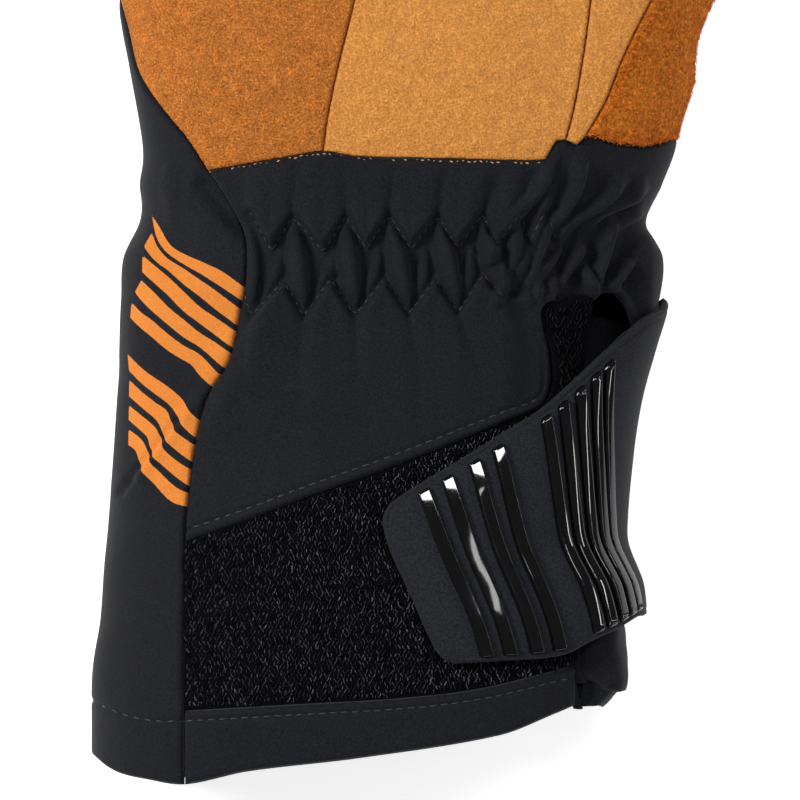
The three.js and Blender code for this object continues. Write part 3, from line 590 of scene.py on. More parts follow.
def trim(mesh, cuts, cell):
    """Cuts a skin to shape: points near a cut go onto it, and the faces outside go."""
    distance, shift = edge_distance(mesh, cuts)
    near = np.abs(distance) < SNAP_REACH * cell
    points = points_of(mesh)
    points[near] += shift[near]
    distance[near] = 0
    move_points(mesh, points)
    bm = bmesh_of(mesh)
    outside = [f for f in bm.faces if sum(distance[v.index] for v in f.verts) <= TINY]
    dropped = set(outside)
    rim = {v for f in outside for v in f.verts}
    for v in rim:
        index = v.index
        kept = any(f not in dropped for f in v.link_faces)
        if kept and distance[index] != 0 and abs(distance[index]) < PULL_REACH * cell:
            v.co += Vector(shift[index])
    bmesh.ops.delete(bm, geom=outside, context="FACES")
    loose = [v for v in bm.verts if not v.link_faces]
    bmesh.ops.delete(bm, geom=loose, context="VERTS")
    bmesh.ops.remove_doubles(bm, verts=bm.verts, dist=cell * MERGE_REACH)
    bm.to_mesh(mesh)
    bm.free()


def refine_edges(mesh, cuts, band):
    """Finer faces in a band along the cuts."""
    distance, _ = edge_distance(mesh, cuts)
    bm = bmesh_of(mesh)
    faces = [f for f in bm.faces if min(abs(distance[v.index]) for v in f.verts) < band]
    edges = {e for f in faces for e in f.edges}
    bmesh.ops.subdivide_edges(bm, edges=list(edges), cuts=1, use_grid_fill=True)
    bm.to_mesh(mesh)
    bm.free()


def rolled(distance, radius):
    """How far a rounded edge drops, by the distance from the edge."""
    inward = np.clip(radius - np.maximum(distance, 0), 0, radius)
    return radius - np.sqrt(np.maximum(radius ** 2 - inward ** 2, 0))


SEED_STEPS = (17.3, 5.1, 29.7)


def waves(name, points):
    """The gentle unevenness of a piece's cloth."""
    high, size, seed = WAVES[name]
    offset = Vector([seed * step for step in SEED_STEPS])
    return high * np.array([noise.noise(Vector(p) / size + offset) for p in points])


# Finishes: one class for values in a shader, and one for a material's nodes

# The sockets of a Mix node that mixes colours
MIX_SHARE, MIX_FIRST, MIX_SECOND, MIX_RESULT = 0, 6, 7, 2


class Value:
    """A value in a material. Python's operators on it add Math nodes."""

    def __init__(self, finish, socket):
        self.finish = finish
        self.socket = socket

    def __add__(self, other):
        return self.finish.math("ADD", self, other)

    __radd__ = __add__

    def __sub__(self, other):
        return self.finish.math("SUBTRACT", self, other)

    def __rsub__(self, other):
        return self.finish.math("SUBTRACT", other, self)

    def __mul__(self, other):
        return self.finish.math("MULTIPLY", self, other)

    __rmul__ = __mul__

    def above(self, low, high):
        """0 below low, 1 above high, and a straight ramp between them."""
        return self.finish.node(
            "ShaderNodeMapRange", {"clamp": True},
            {"Value": self, "From Min": low, "From Max": high},
        )


class Finish:
    """A material, and the nodes that make it."""

    def __init__(self, name, **constants):
        self.material = bpy.data.materials.new(name)
        self.material.use_nodes = True
        self.tree = self.material.node_tree
        self.shader = self.tree.nodes["Principled BSDF"]
        for socket, value in constants.items():
            self.shader.inputs[socket.replace("_", " ")].default_value = value
        self.place = self.node("ShaderNodeTexCoord", output="Object")

    def node(self, kind, settings=None, values=None, output=0):
        """Any node, with its settings and the values or links of its sockets."""
        node = self.tree.nodes.new(kind)
        for name, setting in (settings or {}).items():
            setattr(node, name, setting)
        for name, value in (values or {}).items():
            if isinstance(value, Value):
                self.tree.links.new(value.socket, node.inputs[name])
            else:
                node.inputs[name].default_value = value
        return Value(self, node.outputs[output])

    def math(self, operation, first, second):
        return self.node("ShaderNodeMath", {"operation": operation}, {0: first, 1: second})

    def noise(self, size, detail=2.0, roughness=0.5):
        """Noise whose spots have this size in millimetres."""
        return self.node("ShaderNodeTexNoise", None, {
            "Vector": self.place, "Scale": 1 / (size * MM), "Detail": detail,
            "Roughness": roughness,
        })

    def cells(self, size):
        """Distance from the middles of cells of this size in millimetres."""
        return self.node("ShaderNodeTexVoronoi", None, {
            "Vector": self.place, "Scale": 1 / (size * MM),
        })

    def axis(self, letter):
        """The piece's own X, Y or Z."""
        return self.node("ShaderNodeSeparateXYZ", None, {"Vector": self.place}, output=letter)

    def mix(self, share, first, second):
        """The second colour over the first, by a share."""
        return self.node(
            "ShaderNodeMix", {"data_type": "RGBA"},
            {MIX_SHARE: share, MIX_FIRST: first, MIX_SECOND: second}, output=MIX_RESULT,
        )

    def bump(self, height, depth, under=None):
        """A bump of this depth in millimetres, on top of another."""
        values = {"Height": height, "Distance": depth * MM, "Strength": 1.0}
        if under:
            values["Normal"] = under
        return self.node("ShaderNodeBump", None, values)

    def set(self, **links):
        for socket, value in links.items():
            self.tree.links.new(value.socket, self.shader.inputs[socket.replace("_", " ")])
        return self.material


def colour(red, green, blue):
    """A colour as a screen shows it (0 to 255), in the light's own scale."""
    def linear(value):
        value /= 255
        return value / 12.92 if value <= 0.04045 else ((value + 0.055) / 1.055) ** 2.4
    return (linear(red), linear(green), linear(blue), 1)


def shaded(shade, share):
    """A colour made darker or lighter."""
    return tuple(min(part * share, 1) for part in shade[:3]) + (1,)


# Softshell: sizes and depths of its grain in millimetres
SPECKLE, CLOUD = 0.4, 7
SPECKLE_SHARE = 0.85
WEAVE, WEAVE_DEEP = 0.22, 0.05
BRUSH, BRUSH_DEEP = 1.1, 0.05
# The print: its even tone, its flecks, and how ragged its edge is
PRINT_CLOUD, PRINT_FLECK, PRINT_FLECK_SHARE = 9, 0.35, 0.6
PRINT_RAGGED, PRINT_RAGGED_DEEP = 0.5, 0.12
PRINT_EDGE = 0.03
PRINT_DARK, PRINT_LIGHT, PRINT_DULL = (202, 116, 42), (218, 134, 60), (184, 104, 38)


def stripe_print(f, cloth):
    """The stripes, printed over the cloth where the panel's two values say."""
    odd = f.node("ShaderNodeAttribute", {"attribute_name": "odd_stripe"}, output="Fac")
    even = f.node("ShaderNodeAttribute", {"attribute_name": "even_stripe"}, output="Fac")
    knit = (f.noise(PRINT_RAGGED, detail=1) - 0.5) * PRINT_RAGGED_DEEP
    inside = (f.math("MAXIMUM", odd, even) + knit).above(-PRINT_EDGE, PRINT_EDGE)
    orange = f.mix(f.noise(PRINT_CLOUD), colour(*PRINT_DARK), colour(*PRINT_LIGHT))
    flecks = f.noise(PRINT_FLECK, detail=3).above(0.35, 0.65) * PRINT_FLECK_SHARE
    orange = f.mix(flecks, orange, colour(*PRINT_DULL))
    return f.mix(inside, cloth, orange)


def softshell_finish(name, shade, stripes=False):
    """Matt softshell with a very fine close weave; the side panel also carries a print."""
    f = Finish(name, Sheen_Weight=0.03, Sheen_Roughness=0.5, Specular_IOR_Level=0.12)
    fine = f.noise(SPECKLE, detail=3, roughness=0.6)
    tone = fine.above(0.36, 0.64) * SPECKLE_SHARE + f.noise(CLOUD) * (1 - SPECKLE_SHARE)
    cloth = f.mix(tone, shaded(shade, 0.5), shaded(shade, 1.5))
    if stripes:
        cloth = stripe_print(f, cloth)
    weave = f.bump(f.noise(WEAVE), WEAVE_DEEP)
    brushed = f.bump(f.noise(BRUSH, detail=3), BRUSH_DEEP, weave)
    return f.set(Base_Color=cloth, Roughness=fine * 0.15 + 0.72, Normal=brushed)


# Leather: its patches, pores and dents, as shares of its grain's size and depth
PATCHES, PORES, DENTS = 6, 1.5, 1.6
GRAIN_SHARE = 0.74
PORE_SHADE = 0.72


def leather_finish(name, shade, size, depth, mottle):
    """Brushed leather: a felted grain, mottled where the nap turns."""
    f = Finish(name, Specular_IOR_Level=0.06)
    grain = f.noise(size, detail=5, roughness=0.7)
    patches = f.noise(size * PATCHES, detail=3, roughness=0.6)
    tone = grain.above(0.38, 0.62) * GRAIN_SHARE + patches.above(0.3, 0.7) * (1 - GRAIN_SHARE)
    skin = f.mix(tone, shaded(shade, 1 - mottle), shaded(shade, 1 + mottle))
    between_pores = f.cells(size * PORES).above(0.0, 0.7)
    skin = f.mix(between_pores, shaded(shade, PORE_SHADE), skin)
    felt = f.bump(grain, depth)
    dents = f.bump(patches, depth * DENTS, felt)
    return f.set(Base_Color=skin, Roughness=grain * 0.2 + 0.7, Normal=dents)


NAP_PATCH = 0.8


def nap_finish(shade):
    """The suede's single hairs, some dark and some pale."""
    f = Finish("suede_nap", Specular_IOR_Level=0.1)
    tone = f.noise(NAP_PATCH, detail=3).above(0.35, 0.65)
    base = f.mix(tone, shaded(shade, 0.45), shaded(shade, 1.75))
    return f.set(Base_Color=base, Roughness=tone * 0.1 + 0.75)


YARN_PATCH = 0.6
# Painted shade on the yarn inside the fold beside the strap, which the strap shades: it starts
# over this x to the right, and over this y up the cuff
YARN_SHADE_RIGHT, YARN_SHADE_UP = (18, 32), (-60, -45)


def loop_finish():
    """Looped yarn, pale and dark at random, with painted shade that darkens it inside the fold.
    """
    f = Finish("loop_pile", Specular_IOR_Level=0.1, Sheen_Weight=0.05)
    tone = f.noise(YARN_PATCH).above(0.35, 0.7)
    pile = f.mix(tone, colour(26, 26, 32), colour(126, 127, 140))
    across, along_cuff = f.axis("X"), f.axis("Y")
    right = [ORIGIN.x + x * MM for x in YARN_SHADE_RIGHT]
    up = [ORIGIN.y + y * MM for y in YARN_SHADE_UP]
    # painted shade: the yarn turns near black inside the fold, where the strap's shade falls
    painted_fold_shade = across.above(*right) * along_cuff.above(*up)
    pile = f.mix(painted_fold_shade, pile, colour(12, 12, 16))
    return f.set(Base_Color=pile, Roughness=tone * -0.1 + 0.8)


GROUND_DEEP = 0.3


def loop_ground_finish():
    """The black knit under the loops."""
    f = Finish("loop_ground", Specular_IOR_Level=0.04)
    tone = f.noise(YARN_PATCH, detail=3)
    base = f.mix(tone, colour(4, 4, 6), colour(10, 10, 13))
    rough = f.bump(tone, GROUND_DEEP)
    return f.set(Base_Color=base, Roughness=tone * 0.1 + 0.85, Normal=rough)


SILICONE_CLOUD = 4
SILICONE_WAVE, SILICONE_WAVE_DEEP = 2.6, 0.007


def silicone_finish():
    """Glossy moulded silicone with a faint unevenness."""
    f = Finish("grip_silicone", Specular_IOR_Level=0.35, Coat_Weight=0.15, Coat_Roughness=0.02)
    soft = f.noise(SILICONE_CLOUD)
    base = f.mix(soft, colour(3, 3, 4), colour(8, 8, 10))
    wave = f.bump(f.noise(SILICONE_WAVE), SILICONE_WAVE_DEEP)
    return f.set(Base_Color=base, Roughness=soft * 0.03 + 0.03, Normal=wave)


THREAD_TWIST, THREAD_DEEP = 0.3, 0.05


def thread_finish(name, shade):
    """Sewing thread, with painted shade between its twists, where its bump is low."""
    f = Finish(name, Specular_IOR_Level=0.35)
    twist = f.noise(THREAD_TWIST)
    # painted shade: the twist's noise darkens the colour where the same noise makes the bump low
    base = f.mix(twist, shaded(shade, 0.5), shade)
    relief = f.bump(twist, THREAD_DEEP)
    return f.set(Base_Color=base, Roughness=twist * 0.2 + 0.35, Normal=relief)


FLOOR_CLOUD = 60


def floor_finish():
    """A plain pale floor, which glows a little so that it stays white to its edges."""
    f = Finish("pale_floor", Specular_IOR_Level=0.1, Emission_Strength=0.7)
    tone = f.mix(f.noise(FLOOR_CLOUD), colour(247, 247, 247), colour(250, 250, 250))
    return f.set(Base_Color=tone, Emission_Color=tone)


CLOTH = colour(21, 22, 27)
FINISHES = {
    "cloth": softshell_finish("softshell", CLOTH),
    "print": softshell_finish("softshell_print", CLOTH, stripes=True),
    "strap": softshell_finish("strap_cloth", colour(30, 31, 36)),
    "lining": softshell_finish("fleece_lining", colour(46, 46, 50)),
    "outer": leather_finish("outer_leather", colour(192, 114, 48), 0.36, 0.5, 0.78),
    "palm": leather_finish("palm_leather", colour(228, 147, 73), 0.38, 0.45, 0.48),
    "suede": leather_finish("thumb_suede", colour(209, 115, 36), 0.6, 0.7, 0.8),
    "nap": nap_finish(colour(196, 106, 36)),
    "loops": loop_finish(),
    "ground": loop_ground_finish(),
    "silicone": silicone_finish(),
    "dark thread": thread_finish("dark_thread", colour(22, 24, 29)),
    "grey thread": thread_finish("grey_thread", colour(46, 48, 54)),
    "tan thread": thread_finish("tan_thread", colour(214, 158, 98)),
    "brown thread": thread_finish("brown_thread", colour(92, 48, 20)),
}


# Dressing the frame

def place_piece(mesh, name, looks):
    """Makes a finished mesh an object in the frame."""
    mesh.transform(Matrix.Translation(ORIGIN) @ Matrix.Scale(MM, 4))
    for look in looks:
        mesh.materials.append(FINISHES[look])
    mesh.polygons.foreach_set("use_smooth", np.ones(len(mesh.polygons), bool))
    mesh.update()
    piece = bpy.data.objects.new(name, mesh)
    bpy.context.scene.collection.objects.link(piece)
    return piece


def give_wall(piece, thick, lining=False):
    """Gives a skin its thickness, on the inside."""
    wall = piece.modifiers.new("wall", "SOLIDIFY")
    wall.thickness = thick * MM
    wall.offset = -1
    if lining:
        wall.material_offset = 1
    return piece


def dress(piece, node):
    """The piece stands for a CAD node: it is attached to the root body and hides that node."""
    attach(piece, "root")
    if node:
        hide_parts(node)
    return piece


# The cuff and the wrist

def front_turns(y):
    """The turns at which the front ends, at the little-finger side and the thumb side."""
    end = turn_at_height(PARTING, y)
    return 0.5 - end, end


def cuff_skin(name, out=0.0):
    """Part of the body's front, as far as this piece reaches, raised by out."""
    left, right, low, high = FRONT_REACH[name]
    middle = (low + high) / 2
    ends = front_turns(middle)
    from_turn = ends[0] if left is None else float(turn_at_x(left, middle))
    to_turn = ends[1] if right is None else float(turn_at_x(right, middle))
    lengths = np.interp([-from_turn, -to_turn], -EVEN_TURNS, EVEN_LENGTHS)
    columns = int((lengths[1] - lengths[0]) / CELL)
    rows = int((high - low) / CELL)

    def place(u, v):
        y = low + (high - low) * v
        seam_left, seam_right = front_turns(y)
        start = seam_left if left is None else turn_at_x(left, y)
        end = seam_right if right is None else turn_at_x(right, y)
        return body_points(even_turn(u, start, end), y, out)

    return skin_grid(name, columns, rows, place)


SEAMS = {
    "side": smooth_line(SIDE_SEAM),
    "outer": smooth_line(OUTER_SEAM),
    "leather": smooth_line(LEATHER_EDGE),
    "centre": smooth_line(CENTRE_SEAM),
    "thumb": smooth_line(THUMB_SEAM),
    "suede": smooth_line(SUEDE_SEAM),
    "rim": smooth_line(WRIST_RIM),
    "hem": smooth_line(HEM_SEAM),
    "gusset": smooth_line(GUSSET_SEAM),
    "back thumb": smooth_line(BACK_THUMB_LINE),
}


def part_of(seam, start=None, end=None):
    """The piece of a seam between the places nearest to two spots."""
    line = SEAMS[seam]

    def nearest(spot):
        return min(range(len(line)), key=lambda i: math.dist(line[i], spot))

    first = 0 if start is None else nearest(start)
    last = len(line) - 1 if end is None else nearest(end)
    return line[first:last + 1] if first <= last else line[last:first + 1][::-1]


def beside(line, distance):
    """A line moved to its left."""
    spots = [Vector(p) for p in line]
    moved = []
    for before, here, after in zip([spots[0]] + spots, spots, spots[1:] + [spots[-1]]):
        way = (after - before).normalized()
        moved.append((here.x - way.y * distance, here.y + way.x * distance))
    return moved


CORNER_LEFT = LEATHER_EDGE[0]
CORNER_CENTRE = CENTRE_SEAM[0]
CORNER_STRIP = THUMB_SEAM[0]
CORNER_SUEDE = SUEDE_SEAM[0]
CORNER_RIM = WRIST_RIM[0]
POCKET_CORNER = (37.2, -19)  # on the wrist's edge, over the fold beside the strap

OUTLINES = {
    "side_panel": [(FAR_LEFT, FAR_DOWN)] + part_of("side") + part_of("outer")[1:]
    + [(FAR_LEFT, OUTER_END)],
    "wrist_front": part_of("rim") + part_of("leather")[::-1]
    + part_of("side", CORNER_LEFT, CORNER_RIM)[1:-1],
    "loop_patch": part_of("hem") + part_of("gusset", HEM_SEAM[-1], GUSSET_SEAM[-1])[1:]
    + part_of("rim", POCKET_CORNER, CORNER_RIM),
    "hem_front": [(SIDE_SEAM[0][0], FAR_DOWN), (GUSSET_SEAM[0][0], FAR_DOWN)]
    + part_of("hem")[::-1],
    "palm_outer": part_of("leather", CORNER_LEFT, CORNER_CENTRE) + part_of("centre")[1:]
    + [(FAR_LEFT, FINGER_SEAM), (FAR_LEFT, OUTER_END)] + part_of("outer")[::-1][:-1],
    "palm_centre": part_of("leather", CORNER_CENTRE, CORNER_STRIP) + part_of("thumb")[1:]
    + [(PALM_RIGHT, FINGER_SEAM)] + part_of("centre")[::-1][:-1],
    "thumb_front": part_of("leather", CORNER_STRIP, CORNER_SUEDE) + part_of("suede")[1:]
    + [(THUMB_LEFT, THUMB_FRONT_UP)] + part_of("thumb")[::-1][:-1],
    "thumb_suede": part_of("leather", CORNER_SUEDE)
    + [(FAR_RIGHT, SUEDE_DOWN), (FAR_RIGHT, SUEDE_UP)] + part_of("suede")[::-1][:-1],
}


def soft_ridge(spots, line, wide, high):
    """A soft ridge along a line, round at its ends."""
    distance, _, _ = nearest_on_line(spots, line)
    return high * np.exp(-(distance / wide) ** 2)


def lapped_ridge(spots, line, high, left, right):
    """A ridge that falls off differently on its two sides, as where cloth laps over."""
    distance, _, side = nearest_on_line(spots, line)
    spread = np.where(side > 0, left, right)
    return high * np.exp(-(distance / spread) ** 2)


def pleat(spots, line, high):
    """A round fold, steeper on its dark side, that grows out of the cloth at its ends."""
    distance, _, side = nearest_on_line(spots, line)
    share = np.clip(distance / np.where(side > 0, FOLD_DARK, FOLD_LIT), 0, 1)
    start, end = [np.hypot(*(spots - spot).T) for spot in (line[0], line[-1])]
    ends = smoothstep(*FOLD_STARTS, start) * smoothstep(*FOLD_STOPS, end)
    return high * np.cos(share * math.pi / 2) * ends


PUFF_BLUNT = 0.6  # 1 is pointed at the ends, less is blunter
PUFF_LEAST = 1e-3
PUFF_SIDES = (0.8, 1.2)  # how wide it is on its steep side and on the other


def long_puff(spots, start, end, wide, high):
    """A puff between two places, pointed at both ends and steeper on its right."""
    start, end = np.array(start), np.array(end)
    way = end - start
    length = np.hypot(*way)
    along_it = np.clip(((spots - start) @ way) / length ** 2, 0, 1)
    beside_it = ((spots - start) @ np.array([-way[1], way[0]])) / length
    swell = np.sin(along_it * math.pi) ** PUFF_BLUNT
    half = wide * np.maximum(swell, PUFF_LEAST) * np.where(beside_it > 0, *PUFF_SIDES)
    return high * swell * np.sqrt(np.clip(1 - (beside_it / half) ** 2, 0, 1))


PUFF_ABOVE, PUFF_BELOW = 2.7, 2.4  # heights of the puffs above and below the stitching
PUFF_FADE = 9.0  # how soon they flatten away from the stitches
PUFF_ROUND = 0.8
PUFF_PAST = -0.6  # how far past a crease's end its puffs follow it, as a share of its length
LONG_PUFF = (2.3, 3.2)  # half width and height
SMALL_RIDGE = (1.4, 1.5)
BETWEEN_HOLLOW = 1.3
STITCH_SINK, STITCH_SINK_WIDE = 0.7, 0.6
GATHERS_START, GATHERS_END = (-30, -27), (21, 27)  # over this x they rise and end


def puffs(spots, creases):
    """Round puffs between sharp creases: 0 on a crease, 1 in the middle between two."""
    lines = [plan(crease) for crease in creases]
    across = np.array([
        start[0] + (end[0] - start[0])
        * np.clip((spots[:, 1] - start[1]) / (end[1] - start[1]), PUFF_PAST, 1)
        for start, end in lines
    ])
    after = (across <= spots[:, 0]).sum(axis=0)
    outside = (after == 0) | (after == len(lines))
    i = np.clip(after, 1, len(lines) - 1)
    column = np.arange(len(spots))
    left, right = across[i - 1, column], across[i, column]
    share = np.clip((spots[:, 0] - left) / (right - left), 0, 1)
    return np.where(outside, 0, np.sin(share * math.pi) ** PUFF_ROUND)


def row_level(row, spots):
    """Where a row of stitching crosses each spot's x, in plan."""
    corners = np.array(plan(row))
    return np.interp(spots[:, 0], corners[:, 0], corners[:, 1])


def gathers(spots):
    """The elastic's gathers, held down along two zigzag rows."""
    over = spots[:, 1] - row_level(UPPER_ROW, spots)
    under = row_level(LOWER_ROW, spots) - spots[:, 1]
    fade_over = np.exp(-np.maximum(over, 0) / PUFF_FADE)
    fade_under = np.exp(-np.maximum(under, 0) / PUFF_FADE)
    between = np.full(len(spots), -BETWEEN_HOLLOW)
    for lines, size in ((LONG_PUFFS, LONG_PUFF), (SMALL_RIDGES, SMALL_RIDGE)):
        for line in lines:
            puff = long_puff(spots, *plan(line), *size) - BETWEEN_HOLLOW
            between = np.maximum(between, puff)
    above = PUFF_ABOVE * puffs(spots, CREASES_ABOVE) * fade_over
    below = PUFF_BELOW * puffs(spots, CREASES_BELOW) * fade_under
    height = np.where(over > 0, above, np.where(under > 0, below, between))
    x = spots[:, 0]
    height *= smoothstep(*GATHERS_START, x) * (1 - smoothstep(*GATHERS_END, x))
    for row in (UPPER_ROW, LOWER_ROW):
        distance, _, _ = nearest_on_line(spots, plan(row))
        held = np.exp(-(distance / STITCH_SINK_WIDE) ** 2)
        height = height * (1 - held) - STITCH_SINK * held
    return height


def wrist_relief(spots):
    """The gathers, folds and hollows of the wrist."""
    height = gathers(spots)
    ridges = np.zeros(len(spots))
    for line, high in FOLDS:
        curve = smooth_line(plan(line))
        ridges = np.maximum(ridges, pleat(spots, curve, high * FOLD_RISE))
    for deep, across, up in (FOLD_HOLLOW, KNOT_HOLLOW):
        ridges -= deep * (
            smoothstep(*across, spots[:, 0]) * (1 - smoothstep(*up, spots[:, 1]))
        )
    height += ridges * (1 - smoothstep(*FOLDS_END, spots[:, 0]))
    overhang = smooth_line(plan(SIDE_OVERHANG))
    height += lapped_ridge(spots, overhang, OVERHANG_HIGH, OVERHANG_LEFT, OVERHANG_RIGHT)
    return height


# The rows of stitching along the wrist's edge and the hem: how far in they lie, and how wide
# and how deep they press the cloth
RIM_ROW_IN, HEM_ROW_IN = 1.9, 2.0
ROW_WIDE, ROW_DEEP = 0.4, 0.35


def pressed_row(distance, row_in):
    """The line that a row of stitching presses into a folded edge."""
    return -ROW_DEEP * np.exp(-((distance - row_in) / ROW_WIDE) ** 2)


CALM_BAND = (0, 4)  # over this distance from its edge the wrist's relief grows
CALM_LEAST = 0.35  # share of it that is left at the edge


def wrist_front():
    """The softshell over the wrist."""
    mesh = cuff_skin("wrist_front")
    cuts = [plan_cut(OUTLINES["wrist_front"])]
    trim(mesh, cuts, CELL)
    points = points_of(mesh)
    spots = points[:, :2]
    to_edge, _ = edge_distance(mesh, cuts)
    to_rim, _, _ = nearest_on_line(spots, SEAMS["rim"])
    grown = smoothstep(*CALM_BAND, to_edge)
    height = wrist_relief(spots) * (CALM_LEAST + (1 - CALM_LEAST) * grown)
    height += waves("wrist_front", points)
    height += pressed_row(to_rim, RIM_ROW_IN)
    pocket = smoothstep(*POCKET_START, spots[:, 0]) * (1 - smoothstep(*POCKET_TOP, spots[:, 1]))
    pocket *= 1 - smoothstep(*POCKET_END, spots[:, 0])
    height -= rolled(to_edge, EDGE_ROUND["wrist_front"] + POCKET_ROUND * pocket)
    raise_skin(mesh, height)
    return mesh


# The print on the side panel: the upper and the lower edge of each stripe
PRINT = [
    ([(150, 205), (152, 214), (160, 227), (168, 241), (176, 249), (192, 257), (208, 264),
      (224, 272), (246, 288)],
     [(150, 211), (152, 220), (156, 235), (160, 244), (168, 254), (184, 265), (200, 274),
      (216, 284), (246, 304)]),
    ([(144, 226), (152, 231), (156, 242), (160, 249), (168, 258), (184, 268), (200, 279),
      (216, 290), (246, 313)],
     [(144, 246), (152, 257), (160, 265), (168, 271), (184, 285), (200, 297), (216, 310),
      (240, 328)]),
    ([(143, 254), (152, 262), (160, 269), (168, 276), (184, 291), (200, 306), (216, 317),
      (238, 332)],
     [(143, 272), (152, 281), (168, 296), (184, 312), (200, 324), (216, 336), (235, 350)]),
    ([(136, 274), (142, 279), (152, 289), (168, 306), (184, 319), (200, 332), (216, 342),
      (233, 354)],
     [(136, 292), (142, 300), (152, 311), (168, 325), (184, 338), (200, 348), (226, 370)]),
    ([(132, 300), (142, 311), (152, 319), (168, 333), (184, 345), (200, 354), (220, 374)],
     [(132, 318), (142, 328), (152, 337), (168, 351), (184, 361), (192, 366), (200, 376),
      (214, 389)]),
    ([(129, 353), (142, 367), (152, 375), (168, 386), (184, 400), (192, 412), (204, 424)],
     [(129, 371), (142, 384), (156, 395), (168, 404), (176, 413), (184, 427), (200, 442)]),
    ([(128, 378), (142, 391), (156, 402), (168, 411), (172, 421), (176, 430), (194, 444)],
     [(128, 396), (142, 408), (156, 420), (161, 427), (165, 438), (176, 450), (193, 463)]),
    ([(128, 404), (142, 415), (156, 427), (161, 436), (165, 448), (176, 459), (193, 470)],
     [(128, 420), (142, 432), (149, 440), (152, 453), (160, 463), (176, 477), (190, 487)]),
    ([(128, 428), (142, 439), (147, 447), (151, 460), (160, 471), (176, 486), (190, 493)],
     [(128, 445), (137, 453), (142, 469), (156, 486), (168, 499), (176, 504), (188, 507)]),
]
# In the photograph's pixels: how much smaller each stripe is than it was read, and what counts
# as far outside
PRINT_TRIM, PRINT_FAR = 0.5, -50.0
PRINT_SLANT = 0.8  # the stripes slant, so their edges are nearer than straight up or down
# Where the stripes end on the left: the photograph's y and x
PRINT_LEFT = [
    (200, 150), (222, 152), (231, 153), (247, 145), (255, 143.5), (279, 143), (292, 136),
    (300, 133), (317, 132), (345, 129), (460, 128),
]


def stripe_depth(spots, stripes):
    """How far inside a printed stripe each place is; less than nothing outside."""
    x = spots[:, 0] / PIXEL + PHOTO_X
    y = PHOTO_Y - spots[:, 1] / PIXEL
    best = np.full(len(spots), PRINT_FAR)
    for upper, lower in stripes:
        best = np.maximum(best, np.minimum(y - along(upper, 1, x), along(lower, 1, x) - y))
    left = np.interp(y, *zip(*PRINT_LEFT))
    return np.minimum(best * PRINT_SLANT, x - left) * PIXEL - PRINT_TRIM * PIXEL


def add_value(mesh, name, values):
    """Keeps a value at each point of a mesh, for its material."""
    attribute = mesh.attributes.new(name, "FLOAT", "POINT")
    attribute.data.foreach_set("value", np.asarray(values, float))


# The row of stitching across the side panel's hem
HEM_ROW_SIDE = [(88, 700), (110, 709), (127, 715), (156, 720), (189, 720)]
# The side panel's soft folds and its dents: line, height or depth, and width
SIDE_FOLDS = [
    ([(169, 172), (173, 220)], 0.45, 1.6),
    ([(139, 182), (176, 196), (203, 224)], 0.6, 3.0),
    ([(200, 398), (172, 432), (140, 474)], 0.7, 1.6),
    ([(214, 372), (236, 330)], 0.5, 1.8),
    ([(150, 250), (140, 300), (135, 350)], 0.4, 3.0),
]
SIDE_DENTS = [
    ([(178, 420), (152, 452), (120, 492)], 0.8, 0.8),
    ([(203, 186), (222, 206), (243, 230)], 2.0, 1.5),
    (HEM_ROW_SIDE, 0.3, 0.45),
]


def side_panel():
    """The softshell of the little-finger side, with the values that its print reads."""
    mesh = cuff_skin("side_panel")
    cuts = [plan_cut(OUTLINES["side_panel"])]
    trim(mesh, cuts, CELL)
    points = points_of(mesh)
    spots = points[:, :2]
    add_value(mesh, "odd_stripe", stripe_depth(spots, PRINT[0::2]))
    add_value(mesh, "even_stripe", stripe_depth(spots, PRINT[1::2]))
    to_edge, _ = edge_distance(mesh, cuts)
    hem = spots[:, 1] - along(HEM_EDGE, 1, spots[:, 0])
    height = waves("side_panel", points)
    for line, high, wide in SIDE_FOLDS:
        height += soft_ridge(spots, smooth_line(plan(line)), wide, high)
    for line, deep, wide in SIDE_DENTS:
        height -= soft_ridge(spots, smooth_line(plan(line)), wide, deep)
    height -= rolled(np.minimum(to_edge, hem), EDGE_ROUND["side_panel"])
    height -= rolled(points[:, 2] - PARTING, SIDE_SEAM_ROUND)
    raise_skin(mesh, height)
    return mesh


LOOP_GROUND_SUNK = 0.1


def loop_patch():
    """The ground of the loop field, which reaches under its neighbours."""
    mesh = cuff_skin("loop_patch", -LOOPS_SUNK)
    cuts = [plan_cut(beside(OUTLINES["loop_patch"], -LOOPS_UNDER))]
    trim(mesh, cuts, CELL)
    raise_skin(mesh, waves("loop_patch", points_of(mesh)) - LOOP_GROUND_SUNK)
    return mesh


def hem_front():
    """The turned hem below the loop field."""
    mesh = cuff_skin("hem_front", HEM_PROUD)
    cuts = [plan_cut(OUTLINES["hem_front"])]
    trim(mesh, cuts, CELL)
    points = points_of(mesh)
    spots = points[:, :2]
    to_edge, _ = edge_distance(mesh, cuts)
    to_top, _, _ = nearest_on_line(spots, SEAMS["hem"])
    hem = spots[:, 1] - along(HEM_EDGE, 1, spots[:, 0])
    height = pressed_row(to_top, HEM_ROW_IN) + waves("hem_front", points)
    height -= rolled(np.minimum(to_edge, hem), EDGE_ROUND["hem_front"])
    raise_skin(mesh, height)
    return mesh


# The hand: tubes joined into one skin, then cut along the seams

# Faces round and along each tube
BODY_GRID, FINGER_GRID, THUMB_GRID = (240, 230), (72, 90), (96, 110)
WELD = 1e-3


def ring_tube(name, grid, place):
    """A closed tube: place takes the shares round and along it."""
    mesh = skin_grid(name, *grid, place)
    bm = bmesh_of(mesh)
    bmesh.ops.remove_doubles(bm, verts=bm.verts, dist=WELD)
    rims = [e for e in bm.edges if e.is_boundary]
    bmesh.ops.holes_fill(bm, edges=rims, sides=0)
    bmesh.ops.recalc_face_normals(bm, faces=bm.faces)
    bm.to_mesh(mesh)
    bm.free()
    return mesh


